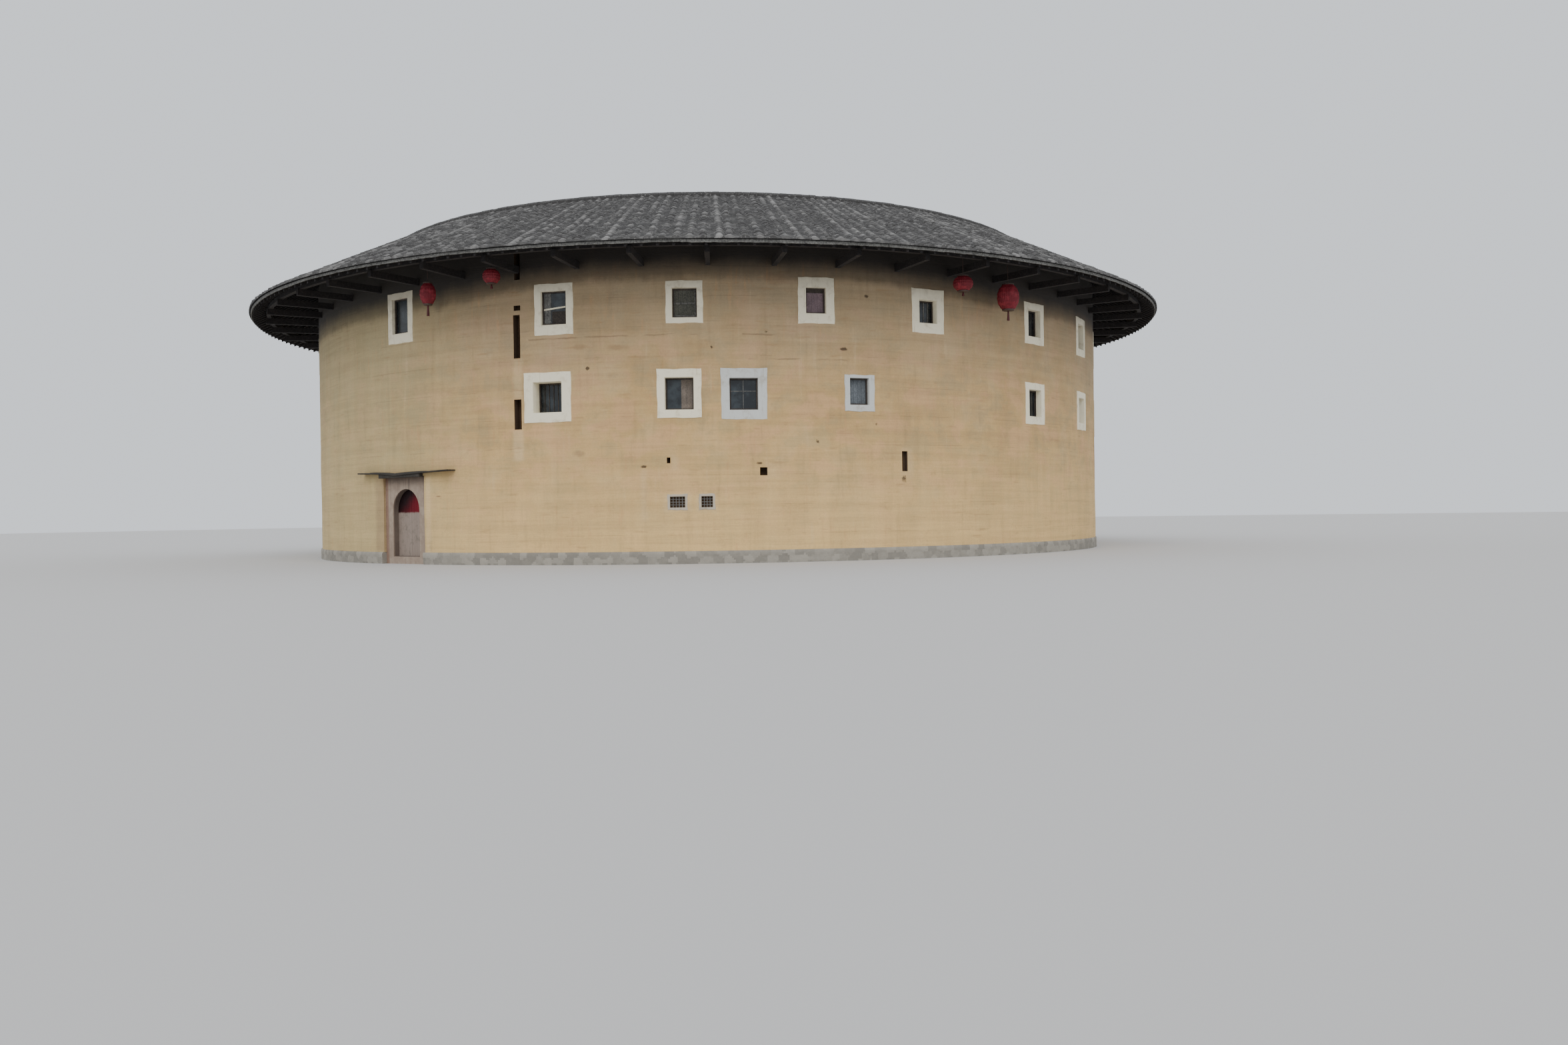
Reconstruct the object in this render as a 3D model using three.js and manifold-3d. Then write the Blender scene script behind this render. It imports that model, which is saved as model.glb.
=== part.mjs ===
// A round earth house: a ring of three storeys behind one thick rammed earth wall, under a tiled ring roof.
// Millimetres, +Z up. The origin is the middle of the courtyard at ground level, and the doorway faces -Y.
// Directions are angles about +Z, counted from the doorway, growing towards +X.
import * as THREE from 'three';
import { mergeVertices } from 'three/addons/utils/BufferGeometryUtils.js';
import Module from 'manifold-3d';

const wasm = await Module();
wasm.setup();

// Ring layout
const sides = 54;                   // flat faces around the ring
const faceAngle = 360 / sides;
const touch = 0.3;                  // gap left between pieces that rest on each other
const weld = 10;                    // depth by which fused members run into each other
const mergeTolerance = 0.01;
const flatTolerance = 0.05;         // triangles of one face are merged where they are flatter than this

// Rammed earth wall: the outer face is upright, the inner face steps back at each floor
const wallOuter = 16500;
const wallInnerGround = 15300;
const wallInnerSecond = 15450;
const wallInnerThird = 15600;
const wallInnerTop = 15800;
const plinthOuter = 16560;
const plinthTop = 400;
const wallSegmentAngle = 30;
const wallSegments = 12;
const firstWallJoint = 16.19;         // angle of the joint right of the doorway

// Storeys
const groundFloorTop = 150;
const secondFloorUnderside = 3750;
const thirdFloorUnderside = 6550;
const floorThickness = 200;
const tieBeamUnderside = 9500;
const tieBeamHeight = 220;
const tieBeamWidth = 180;

// Galleries around the courtyard
const bays = 27;
const bayAngle = 360 / bays;
const postRadius = 10400;
const postWidth = 240;
const plateHeight = 250;
const floorInner = 9900;
const groundFloorInner = 9800;
const railingThickness = 80;
const railingBottom = 100;
const railingTop = 1000;

// Roof
const ridgeRadius = 13700;
const ridgeHeight = 12220;          // top of the boards at the ridge
const outerEaveRadius = 18930;
const innerEaveRadius = 9300;
const eaveHeight = 9630;            // top of the boards at both eaves
const deckThickness = 160;
const roofSections = 3;
const outerColumns = 288;           // columns of cover tiles on a slope, one rib for each
const innerColumns = 216;
const ribHeight = 46;               // at the ridge: a rib's section grows with the distance from the centre
const ribBase = 0.27;               // half widths of a rib, as shares of the space from rib to rib
const ribTop = 0.13;
const ribEndGap = 10;
const fasciaThickness = 40;
const fasciaBottom = 9480;
const fasciaTop = 9625;
const ridgeCapHalfWidth = 170;
const ridgeCapTop = 12340;
const ridgeBeamHalfWidth = 100;
const ridgeBeamBottom = 11700;
const kingPostWidth = 180;

// Beams that carry the outer eave
const outriggers = 50;
const firstOutrigger = 3.64;
const outriggerWidth = 150;
const outriggerBottom = 9300;
const outriggerTop = 9520;
const outriggerEnd = 18450;
const eavePurlinInner = 18225;
const eavePurlinOuter = 18375;

// Doorway: a stone surround with an arch, set back in the wall, a frame behind it, and two leaves that swing inwards
const surroundHalfWidth = 1130;
const surroundTop = 2970;
const surroundFront = 16330;
const surroundBack = 16110;
const archHalfWidth = 730;
const archSpring = 1820;
const sillTop = 250;
const passageHalfWidth = 900;
const frameBack = 15990;
const jambHalfWidth = 780;
const lintelBottom = 2612;
const leafAxisX = 745;
const leafAxisY = 16075;
const leafThickness = 60;
const leafBottom = 258;
const leafTop = 2604;
const leafMiddle = 4;
const pinRadius = 20;
const pinLength = 42;
const socketDepth = 50;
const pinSides = 24;
const pinPlay = 0.2;                // room between the corners of a pin and the flats of its socket
const archSteps = 12;

// Thin canopy over the doorway: two runs of boards that meet low above the door, on a beam.
// The underside of the boards as [x, z] ends and the point that each run bends towards.
const canopyLeft = [[-2300, 3108], [-1000, 3088], [-220, 2985]];
const canopyRight = [[-220, 2985], [1100, 3066], [2620, 3090]];
const canopyThickness = 90;
const canopyFront = 16650;
const canopyBack = 15900;
const canopyBeamHalfLength = 1130;
const canopyBeamBottom = 2930;
const canopyBeamTop = 3030;
const canopyBeamFront = 16600;
const canopySteps = 8;

// Windows that are seen on the front: angle, width, height of the middle, height
const thirdStoreyFront = [
  [0.29, 850, 8400, 1180],
  [22.39, 850, 8130, 1060],
  [37.04, 780, 8150, 930],
  [51.49, 660, 8250, 820],
  [65.39, 700, 8090, 760],
];
const secondStoreyFront = [
  [21.49, 980, 5320, 970],
  [36.34, 900, 5320, 1010],
  [43.34, 900, 5290, 1000],
  [56.44, 660, 5400, 860],
];

// Windows of the far side repeat at an even spacing
const farWindowFirst = 83.69;
const farWindowSpacing = 15;
const farWindows = 17;
const farWindowWidth = 800;
const farWindowHeight = 950;
const thirdStoreyMiddle = 8150;
const secondStoreyMiddle = 5320;

// Blind slots, holes and vents in the outer face: angle, width, bottom, top, depth
const wallPockets = [
  [17.99, 210, 9100, 10030, 300],
  [17.94, 240, 8120, 8280, 200],
  [17.84, 240, 6600, 7980, 300],
  [17.84, 260, 4330, 5290, 300],
  [45.39, 230, 2740, 2990, 260],
  [35.09, 110, 3150, 3330, 200],
  [61.99, 200, 2850, 3500, 160],
  [35.99, 480, 1760, 2110, 120],
  [39.19, 360, 1760, 2110, 120],
  [-15.81, 120, 3180, 3500, 160],
];

// Lanterns under the outer eave: angle, body radius, top of the body, body height, tassel length
const lanternRadiusFromCentre = 17600;
const lanterns = [
  [9.09, 250, 9020, 640, 330],
  [17.19, 270, 9240, 420, 120],
  [67.39, 320, 9090, 450, 120],
  [73.89, 360, 9000, 800, 320],
];
const lanternCapHeight = 50;
const lanternRodRadius = 16;
const tasselRadius = 45;
const lanternSides = 12;

const material = (color, roughness, metalness = 0) => (
  new THREE.MeshStandardMaterial({ color, roughness, metalness })
);
const earth = material(0xb9945f, 0.95);
const plaster = material(0xa58f80, 0.9);
const stone = material(0x8d877c, 0.9);
const darkTimber = material(0x3b332c, 0.85);
const greyTimber = material(0x6f6a63, 0.85);
const tiledRoof = material(0x4a4b4d, 0.9);
const crimson = material(0x9e1f2a, 0.6);
const lanternRed = material(0xc4281f, 0.6);
const radians = THREE.MathUtils.degToRad;

// Solids

function toSolid(geometry) {
  const bare = geometry.clone();
  bare.deleteAttribute('normal');
  bare.deleteAttribute('uv');
  const merged = mergeVertices(bare, mergeTolerance);
  const vertProperties = new Float32Array(merged.attributes.position.array);
  const triVerts = new Uint32Array(merged.index.array);
  return new wasm.Manifold(new wasm.Mesh({ numProp: 3, vertProperties, triVerts }));
}

function toGeometry(solid) {
  const mesh = solid.getMesh();
  const geometry = new THREE.BufferGeometry();
  geometry.setAttribute('position', new THREE.BufferAttribute(mesh.vertProperties, 3));
  geometry.setIndex(new THREE.BufferAttribute(mesh.triVerts, 1));
  const faceted = geometry.toNonIndexed();
  faceted.computeVertexNormals();
  return faceted;
}

function joined(solids) {
  return solids.reduce((whole, solid) => whole.add(solid));
}

// A box between two corners
function block(x0, x1, y0, y1, z0, z1) {
  const geometry = new THREE.BoxGeometry(x1 - x0, y1 - y0, z1 - z0);
  geometry.translate((x0 + x1) / 2, (y0 + y1) / 2, (z0 + z1) / 2);
  return geometry;
}

// A box that runs outwards between two radii in the direction of an angle
function beam(angle, r0, r1, width, z0, z1) {
  const geometry = block(-width / 2, width / 2, -r1, -r0, z0, z1);
  geometry.rotateZ(radians(angle));
  return toSolid(geometry);
}

// A closed section of [radius, height] points turned about the middle of the courtyard
function turned(section, count) {
  const points = section.map(([r, z]) => new THREE.Vector2(r, z));
  if (THREE.ShapeUtils.area(points) < 0) {
    points.reverse();
  }
  points.push(points[0].clone());
  const geometry = new THREE.LatheGeometry(points, count, Math.PI / count);
  geometry.rotateX(Math.PI / 2);
  return toSolid(geometry);
}

// A ring whose radii are measured to the middle of a flat face
function ring(section) {
  const toCorner = 1 / Math.cos(Math.PI / sides);
  return turned(section.map(([r, z]) => [r * toCorner, z]), sides);
}

// A ring of straight lengths that meet at the gallery posts
function bayRing(r0, r1, z0, z1) {
  return turned([[r0, z0], [r1, z0], [r1, z1], [r0, z1]], bays);
}

function squareRing(r0, r1, z0, z1) {
  return ring([[r0, z0], [r1, z0], [r1, z1], [r0, z1]]);
}

// The part of a ring between two angles, less half the touching gap at each end
function between(solid, from, to) {
  const reach = 3 * wallOuter;
  const height = 2 * ridgeHeight;
  const trim = THREE.MathUtils.radToDeg(touch / 2 / wallInnerGround);
  const wedge = new THREE.Shape();
  wedge.moveTo(0, 0);
  for (const angle of [from + trim, (from + to) / 2, to - trim]) {
    wedge.lineTo(reach * Math.sin(radians(angle)), -reach * Math.cos(radians(angle)));
  }
  const geometry = new THREE.ExtrudeGeometry(wedge, { depth: height, bevelEnabled: false });
  geometry.translate(0, 0, -height / 4);
  return solid.intersect(toSolid(geometry));
}

const house = new THREE.Group();

function addPiece(name, solid, finish) {
  const mesh = new THREE.Mesh(toGeometry(solid), finish);
  mesh.name = name;
  house.add(mesh);
}

// Roof slopes: the top of the boards falls straight from the ridge to each eave

function boardTop(eaveRadius, radius) {
  return THREE.MathUtils.mapLinear(radius, ridgeRadius, eaveRadius, ridgeHeight, eaveHeight);
}

const undersideOuter = (radius) => boardTop(outerEaveRadius, radius) - deckThickness;
const undersideInner = (radius) => boardTop(innerEaveRadius, radius) - deckThickness;

// Wall

const wallTop = undersideOuter(wallOuter) - touch;
const doorwayBlocks = [
  block(-surroundHalfWidth - touch, surroundHalfWidth + touch, -2 * surroundFront,
    -surroundBack + touch, -weld, surroundTop),
  block(-passageHalfWidth - touch, passageHalfWidth + touch, -surroundFront,
    -wallInnerGround / 2, groundFloorTop, surroundTop),
].map(toSolid);

const wallRing = ring([
  [wallOuter, plinthTop],
  [wallOuter, wallTop],
  [wallInnerTop, wallTop],
  [wallInnerTop, tieBeamUnderside],
  [wallInnerThird, tieBeamUnderside],
  [wallInnerThird, thirdFloorUnderside],
  [wallInnerSecond, thirdFloorUnderside],
  [wallInnerSecond, secondFloorUnderside],
  [wallInnerGround, secondFloorUnderside],
  [wallInnerGround, plinthTop],
]);

const farAngles = Array.from({ length: farWindows }, (_, step) => farWindowFirst + farWindowSpacing * step);
const farRow = (middle) => farAngles.map((angle) => [angle, farWindowWidth, middle, farWindowHeight]);
const windows = [
  ...thirdStoreyFront,
  ...farRow(thirdStoreyMiddle),
  ...secondStoreyFront,
  ...farRow(secondStoreyMiddle),
];

function inSegment(angle, from, to) {
  const middle = (from + to) / 2;
  const away = THREE.MathUtils.euclideanModulo(angle - middle + 180, 360) - 180;
  return Math.abs(away) < (to - from) / 2;
}

function wallSegment(from, to) {
  let solid = between(wallRing, from, to);
  for (const [angle, width, middle, height] of windows) {
    if (inSegment(angle, from, to)) {
      const hole = beam(angle, wallInnerGround / 2, 2 * wallOuter, width, middle - height / 2, middle + height / 2);
      solid = solid.subtract(hole);
    }
  }
  for (const [angle, width, bottom, top, depth] of wallPockets) {
    if (inSegment(angle, from, to)) {
      solid = solid.subtract(beam(angle, wallOuter - depth, 2 * wallOuter, width, bottom, top));
    }
  }
  return solid;
}

function addWall() {
  const joint = (index) => firstWallJoint + wallSegmentAngle * (index - 1);
  const reach = 2 * wallOuter;
  const low = toSolid(block(-reach, reach, -reach, reach, 0, surroundTop));
  const doorSegment = wallSegment(joint(0), joint(1));
  addPiece('wall_over_door', doorSegment.subtract(low), earth);
  const sidesOfDoor = doorwayBlocks.reduce((solid, cut) => solid.subtract(cut), doorSegment.intersect(low));
  addPiece('wall_left_of_door', between(sidesOfDoor, joint(0), 0), earth);
  addPiece('wall_right_of_door', between(sidesOfDoor, 0, joint(1)), earth);
  for (let index = 1; index < wallSegments; index += 1) {
    addPiece(`wall_segment_${index}`, wallSegment(joint(index), joint(index + 1)), earth);
  }
  const plinth = squareRing(wallInnerGround, plinthOuter, 0, plinthTop);
  addPiece('stone_plinth', doorwayBlocks.reduce((solid, cut) => solid.subtract(cut), plinth), stone);
}

// Doorway

function archOutline() {
  const arch = new THREE.Path();
  arch.moveTo(-archHalfWidth, sillTop);
  arch.lineTo(archHalfWidth, sillTop);
  arch.lineTo(archHalfWidth, archSpring);
  arch.absarc(0, archSpring, archHalfWidth, 0, Math.PI, false);
  arch.closePath();
  return arch;
}

function addSurround() {
  const outline = new THREE.Shape();
  outline.moveTo(-surroundHalfWidth, 0);
  outline.lineTo(surroundHalfWidth, 0);
  outline.lineTo(surroundHalfWidth, surroundTop);
  outline.lineTo(-surroundHalfWidth, surroundTop);
  outline.closePath();
  outline.holes.push(archOutline());
  const depth = surroundFront - surroundBack;
  const geometry = new THREE.ExtrudeGeometry(outline, { depth, bevelEnabled: false, curveSegments: archSteps });
  geometry.rotateX(Math.PI / 2);
  geometry.translate(0, -surroundBack, 0);
  addPiece('door_surround', toSolid(geometry), plaster);
}

function uprightPin(x, y, radius, z0, z1) {
  const geometry = new THREE.CylinderGeometry(radius, radius, z1 - z0, pinSides);
  geometry.rotateX(Math.PI / 2);
  geometry.translate(x, y, (z0 + z1) / 2);
  return toSolid(geometry);
}

function addDoorFrame() {
  const front = -surroundBack + touch;
  const back = -frameBack;
  let frame = joined([
    block(-passageHalfWidth, passageHalfWidth, front, back, groundFloorTop, sillTop),
    block(-passageHalfWidth, passageHalfWidth, front, back, lintelBottom, surroundTop),
    block(-passageHalfWidth, -jambHalfWidth, front, back, groundFloorTop, surroundTop),
    block(jambHalfWidth, passageHalfWidth, front, back, groundFloorTop, surroundTop),
  ].map(toSolid));
  for (const x of [-leafAxisX, leafAxisX]) {
    const radius = (pinRadius + pinPlay) / Math.cos(Math.PI / pinSides);
    frame = frame.subtract(uprightPin(x, -leafAxisY, radius, sillTop - socketDepth, sillTop + weld));
    frame = frame.subtract(uprightPin(x, -leafAxisY, radius, lintelBottom - weld, lintelBottom + socketDepth));
  }
  addPiece('door_frame', frame, darkTimber);
}

function addLeaf(name, side) {
  const xs = [side * leafMiddle, side * leafAxisX].sort((a, b) => a - b);
  const half = leafThickness / 2;
  const board = toSolid(block(xs[0], xs[1], -leafAxisY - half, -leafAxisY + half, leafBottom, leafTop));
  const heel = uprightPin(side * leafAxisX, -leafAxisY, half, leafBottom, leafTop);
  const pin = uprightPin(side * leafAxisX, -leafAxisY, pinRadius, leafBottom - pinLength - leafMiddle,
    leafTop + pinLength + leafMiddle);
  addPiece(name, joined([board, heel, pin]), crimson);
}

function addCanopy() {
  const members = [canopyLeft, canopyRight].map((run) => {
    const under = new THREE.QuadraticBezierCurve(...run.map(([x, z]) => new THREE.Vector2(x, z)));
    const line = under.getPoints(canopySteps);
    const over = line.map((point) => new THREE.Vector2(point.x, point.y + canopyThickness)).reverse();
    const depth = canopyFront - canopyBack;
    const geometry = new THREE.ExtrudeGeometry(new THREE.Shape([...line, ...over]), { depth, bevelEnabled: false });
    geometry.rotateX(Math.PI / 2);
    geometry.translate(0, -canopyBack, 0);
    return toSolid(geometry);
  });
  const beamEnd = canopyBeamHalfLength;
  members.push(toSolid(block(-beamEnd, beamEnd, -canopyBeamFront, -canopyBack, canopyBeamBottom, canopyBeamTop)));
  const wallRoom = squareRing(wallInnerGround / 2, wallOuter + touch, 0, wallTop);
  addPiece('door_canopy', joined(members).subtract(wallRoom), darkTimber);
}

// Floors and galleries

function addFloors() {
  addPiece('ground_floor', squareRing(groundFloorInner, wallInnerGround - touch, 0, groundFloorTop), stone);
  addPiece('second_floor', squareRing(floorInner, wallInnerSecond - touch, secondFloorUnderside,
    secondFloorUnderside + floorThickness), darkTimber);
  addPiece('third_floor', squareRing(floorInner, wallInnerThird - touch, thirdFloorUnderside,
    thirdFloorUnderside + floorThickness), darkTimber);
}

const postAngles = Array.from({ length: bays }, (_, bay) => bayAngle * (bay + 0.5));

function addGalleryFrame(name, bottom, top) {
  const half = postWidth / 2;
  const posts = postAngles.map((angle) => (
    beam(angle, postRadius - half, postRadius + half, postWidth, bottom, top - plateHeight + weld)
  ));
  const plate = bayRing(postRadius - half, postRadius + half, top - plateHeight, top);
  addPiece(name, joined([plate, ...posts]), darkTimber);
}

function addRailing(name, floorTop) {
  const outer = postRadius - postWidth / 2 - touch;
  const rail = bayRing(outer - railingThickness, outer, floorTop + railingBottom, floorTop + railingTop);
  addPiece(name, rail, darkTimber);
}

function addGalleries() {
  const secondFloorTop = secondFloorUnderside + floorThickness;
  const thirdFloorTop = thirdFloorUnderside + floorThickness;
  addGalleryFrame('gallery_frame_ground', groundFloorTop, secondFloorUnderside);
  addGalleryFrame('gallery_frame_second', secondFloorTop, thirdFloorUnderside);
  addGalleryFrame('gallery_frame_third', thirdFloorTop, tieBeamUnderside);
  addRailing('gallery_railing_second', secondFloorTop);
  addRailing('gallery_railing_third', thirdFloorTop);
}

// Roof

function addRoofFrame() {
  const tieTop = tieBeamUnderside + tieBeamHeight;
  const ridgeTop = Math.min(
    undersideOuter(ridgeRadius + ridgeBeamHalfWidth),
    undersideInner(ridgeRadius - ridgeBeamHalfWidth),
  ) - touch;
  const members = [
    squareRing(ridgeRadius - ridgeBeamHalfWidth, ridgeRadius + ridgeBeamHalfWidth, ridgeBeamBottom, ridgeTop),
  ];
  const half = kingPostWidth / 2 - 1;
  for (const angle of postAngles) {
    members.push(beam(angle, floorInner, wallInnerTop - touch, tieBeamWidth, tieBeamUnderside, tieTop));
    members.push(beam(angle, ridgeRadius - half, ridgeRadius + half, 2 * half, tieTop - weld, ridgeBeamBottom + weld));
  }
  addPiece('roof_frame', joined(members), darkTimber);
}

// How far an angle lies from the middle of the flat face that it points at
function offFace(angle) {
  return THREE.MathUtils.euclideanModulo(angle + faceAngle / 2, faceAngle) - faceAngle / 2;
}

function addEaveBeams() {
  const purlinTop = undersideOuter(eavePurlinOuter) - touch;
  const members = [squareRing(eavePurlinInner, eavePurlinOuter, outriggerTop - weld, purlinTop)];
  for (let index = 0; index < outriggers; index += 1) {
    const angle = firstOutrigger + index * 360 / outriggers;
    const skew = radians(Math.abs(offFace(angle)));
    const start = (wallOuter + touch + outriggerWidth / 2 * Math.sin(skew)) / Math.cos(skew);
    members.push(beam(angle, start, outriggerEnd, outriggerWidth, outriggerBottom, outriggerTop));
  }
  addPiece('eave_beams', joined(members), darkTimber);
}

function deck(eaveRadius, ridgeEnd) {
  return ring([
    [ridgeEnd, ridgeHeight],
    [eaveRadius, eaveHeight],
    [eaveRadius, eaveHeight - deckThickness],
    [ridgeEnd, ridgeHeight - deckThickness],
  ]);
}

// One column of cover tiles: a bar that lies on the boards from the ridge cap to the eave and grows outwards
function tileRib(angle, eaveRadius, columns) {
  const outwards = Math.sign(eaveRadius - ridgeRadius);
  const ends = [ridgeRadius + outwards * (ridgeCapHalfWidth + ribEndGap), eaveRadius - outwards * ribEndGap];
  const [near, far] = ends.sort((a, b) => a - b);
  const toFace = Math.cos(radians(offFace(angle)));
  const corners = [[-ribBase, -weld], [ribBase, -weld], [ribTop, ribHeight], [-ribTop, ribHeight]];
  const section = new THREE.Shape(corners.map(([share, height]) => new THREE.Vector2(share, height)));
  const geometry = new THREE.ExtrudeGeometry(section, { depth: 1, bevelEnabled: false });
  const points = geometry.attributes.position;
  for (let index = 0; index < points.count; index += 1) {
    const radius = THREE.MathUtils.lerp(near, far, points.getZ(index));
    const across = points.getX(index) * radius * radians(360 / columns);
    const above = points.getY(index) * radius / ridgeRadius;
    points.setXYZ(index, across, -radius / toFace, boardTop(eaveRadius, radius) + above);
  }
  geometry.rotateZ(radians(angle));
  return toSolid(geometry);
}

function addRoof() {
  const span = 360 / roofSections;
  const slopes = [
    ['outer', outerEaveRadius, ridgeRadius + touch / 2, outerColumns],
    ['inner', innerEaveRadius, ridgeRadius - touch / 2, innerColumns],
  ];
  for (const [side, eaveRadius, ridgeEnd, columns] of slopes) {
    const boards = deck(eaveRadius, ridgeEnd);
    const perSection = columns / roofSections;
    for (let index = 0; index < roofSections; index += 1) {
      const from = (index - 0.5) * span;
      const ribs = Array.from({ length: perSection }, (_, column) => (
        tileRib(from + (column + 0.5) * span / perSection, eaveRadius, columns)
      ));
      const slope = joined([between(boards, from, from + span), ...ribs]);
      addPiece(`roof_${side}_${index + 1}`, slope.asOriginal().simplify(flatTolerance), tiledRoof);
    }
  }
  const inside = ridgeRadius - ridgeCapHalfWidth;
  const outside = ridgeRadius + ridgeCapHalfWidth;
  const shoulder = ridgeCapHalfWidth / 3;
  addPiece('roof_ridge', ring([
    [inside, boardTop(innerEaveRadius, inside) + touch],
    [ridgeRadius, ridgeHeight + touch],
    [outside, boardTop(outerEaveRadius, outside) + touch],
    [outside, ridgeHeight],
    [ridgeRadius + shoulder, ridgeCapTop],
    [ridgeRadius - shoulder, ridgeCapTop],
    [inside, ridgeHeight],
  ]), tiledRoof);
  addPiece('fascia_outer', squareRing(outerEaveRadius + touch, outerEaveRadius + fasciaThickness, fasciaBottom,
    fasciaTop), greyTimber);
  addPiece('fascia_inner', squareRing(innerEaveRadius - fasciaThickness, innerEaveRadius - touch, fasciaBottom,
    fasciaTop), greyTimber);
}

// Lanterns: a rod from the boards, a cap, a bellied body, a foot and a tassel, turned about the rod

function addLantern(index, [angle, radius, top, height, tassel]) {
  const hangRadius = lanternRadiusFromCentre * Math.cos(radians(offFace(angle)));
  const rodTop = undersideOuter(hangRadius + lanternRodRadius) - 2 * touch;
  const bottom = top - height;
  const neck = radius * 0.55;
  const profile = [
    [0, bottom - lanternCapHeight - tassel],
    [tasselRadius, bottom - lanternCapHeight - tassel],
    [tasselRadius, bottom - lanternCapHeight],
    [neck, bottom - lanternCapHeight],
    [neck, bottom],
    [radius * 0.88, bottom + height * 0.15],
    [radius, bottom + height * 0.5],
    [radius * 0.88, top - height * 0.15],
    [neck, top],
    [neck, top + lanternCapHeight],
    [lanternRodRadius, top + lanternCapHeight],
    [lanternRodRadius, rodTop],
    [0, rodTop],
  ].map(([r, z]) => new THREE.Vector2(r, z));
  const geometry = new THREE.LatheGeometry(profile, lanternSides);
  geometry.rotateX(Math.PI / 2);
  geometry.translate(0, -lanternRadiusFromCentre, 0);
  geometry.rotateZ(radians(angle));
  addPiece(`lantern_${index + 1}`, toSolid(geometry), lanternRed);
}

addWall();
addSurround();
addDoorFrame();
addLeaf('door_leaf_left', -1);
addLeaf('door_leaf_right', 1);
addCanopy();
addFloors();
addGalleries();
addRoofFrame();
addEaveBeams();
addRoof();
lanterns.forEach((lantern, index) => addLantern(index, lantern));

export default house;
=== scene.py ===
import math

import bpy
import numpy as np
from mathutils import Matrix, Vector


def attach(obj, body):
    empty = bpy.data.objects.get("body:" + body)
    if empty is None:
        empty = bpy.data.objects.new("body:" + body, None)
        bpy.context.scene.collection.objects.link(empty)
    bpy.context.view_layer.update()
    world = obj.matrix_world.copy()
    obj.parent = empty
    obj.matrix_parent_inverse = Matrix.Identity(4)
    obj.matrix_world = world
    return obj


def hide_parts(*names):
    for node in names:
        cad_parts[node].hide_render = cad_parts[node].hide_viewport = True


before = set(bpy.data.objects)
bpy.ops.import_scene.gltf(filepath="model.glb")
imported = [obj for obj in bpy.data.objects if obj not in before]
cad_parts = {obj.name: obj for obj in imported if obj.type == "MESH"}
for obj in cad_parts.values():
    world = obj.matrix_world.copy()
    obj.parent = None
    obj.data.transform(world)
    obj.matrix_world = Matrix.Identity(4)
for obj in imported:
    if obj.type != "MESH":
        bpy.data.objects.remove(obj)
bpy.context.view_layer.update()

# The house stands on z = 0 with the doorway towards -Y. Directions are angles from the doorway towards +X,
# in degrees in the settings and in radians in the code. Lengths are metres.

ringSizes = {
    "wallOuter": 16.505,
    "wallTop": 10.66,
    "plinthTop": 0.40,
    "innerSteps": [(0.40, 15.30), (3.75, 15.45), (6.55, 15.60), (9.50, 15.80)],
    "ridgeRadius": 13.70,
    "ridgeHeight": 12.22,
    "outerEave": 18.93,
    "innerEave": 9.30,
    "eaveHeight": 9.63,
    "deckThickness": 0.16,
    "roofSections": 3,
    "roofSides": (("outer", 1), ("inner", -1)),
}


# Shapes are pairs of arrays: points, and quads that index them

def merge(shapes):
    points, quads, start = [], [], 0
    for shapePoints, shapeQuads in shapes:
        points.append(shapePoints.reshape(-1, 3))
        quads.append(shapeQuads.reshape(-1, 4) + start)
        start += len(points[-1])
    return np.concatenate(points), np.concatenate(quads)


def gridQuads(rows, cols, wrapRows=False, wrapCols=False):
    # quad (i, j) joins four neighbours of a grid with cols points in each row
    i = np.arange(rows if wrapRows else rows - 1)[:, None]
    j = np.arange(cols if wrapCols else cols - 1)[None, :]
    up, right = (i + 1) % rows, (j + 1) % cols
    return np.stack([i * cols + j, i * cols + right, up * cols + right, up * cols + j], -1).reshape(-1, 4)


def makePiece(name, shape, finish, body="house", smooth=None, tone=None):
    points = np.ascontiguousarray(shape[0].reshape(-1, 3), np.float32)
    quads = np.ascontiguousarray(shape[1].reshape(-1, 4), np.int32)
    mesh = bpy.data.meshes.new(name)
    mesh.vertices.add(len(points))
    mesh.vertices.foreach_set("co", points.ravel())
    mesh.loops.add(quads.size)
    mesh.loops.foreach_set("vertex_index", quads.ravel())
    mesh.polygons.add(len(quads))
    mesh.polygons.foreach_set("loop_start", np.arange(0, quads.size, 4, dtype=np.int32))
    mesh.update(calc_edges=True)
    mesh.polygons.foreach_set("use_smooth", np.full(len(quads), smooth is not None))
    if smooth is not None:
        mesh.set_sharp_from_angle(angle=math.radians(smooth))
    if tone is not None:
        layer = mesh.attributes.new("tone", "FLOAT", "FACE")
        layer.data.foreach_set("value", np.ascontiguousarray(tone, np.float32))
    mesh.materials.append(finish)
    piece = bpy.data.objects.new(name, mesh)
    bpy.context.scene.collection.objects.link(piece)
    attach(piece, body)
    return piece


def around(theta, radius):
    # a point of the ring: x = r sin theta, y = -r cos theta
    return radius * np.sin(theta), -radius * np.cos(theta)


def ringGrid(theta, radius, height):
    return np.stack(np.broadcast_arrays(*around(theta, radius), height), -1)


def ringAngles(count, shift=0.0):
    # even directions round the ring, in radians
    return (np.arange(count) + shift) / count * 2 * np.pi


def placed(theta, lateral, radius, height):
    # local (lateral, radius, height) turned to face the direction theta
    c, s = np.cos(theta), np.sin(theta)
    x = lateral * c + radius * s
    y = lateral * s - radius * c
    return np.stack(np.broadcast_arrays(x, y, height), -1)


# shares of the lateral range, the radius range and the height range at the corners of a box
cubeShares = np.array([(x, 1 - y, z) for z in (0, 1) for y in (0, 1) for x in (0, 1)], float).T
cubeQuads = np.array([(0, 2, 3, 1), (4, 5, 7, 6), (0, 1, 5, 4), (2, 6, 7, 3), (0, 4, 6, 2), (1, 3, 7, 5)])


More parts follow.
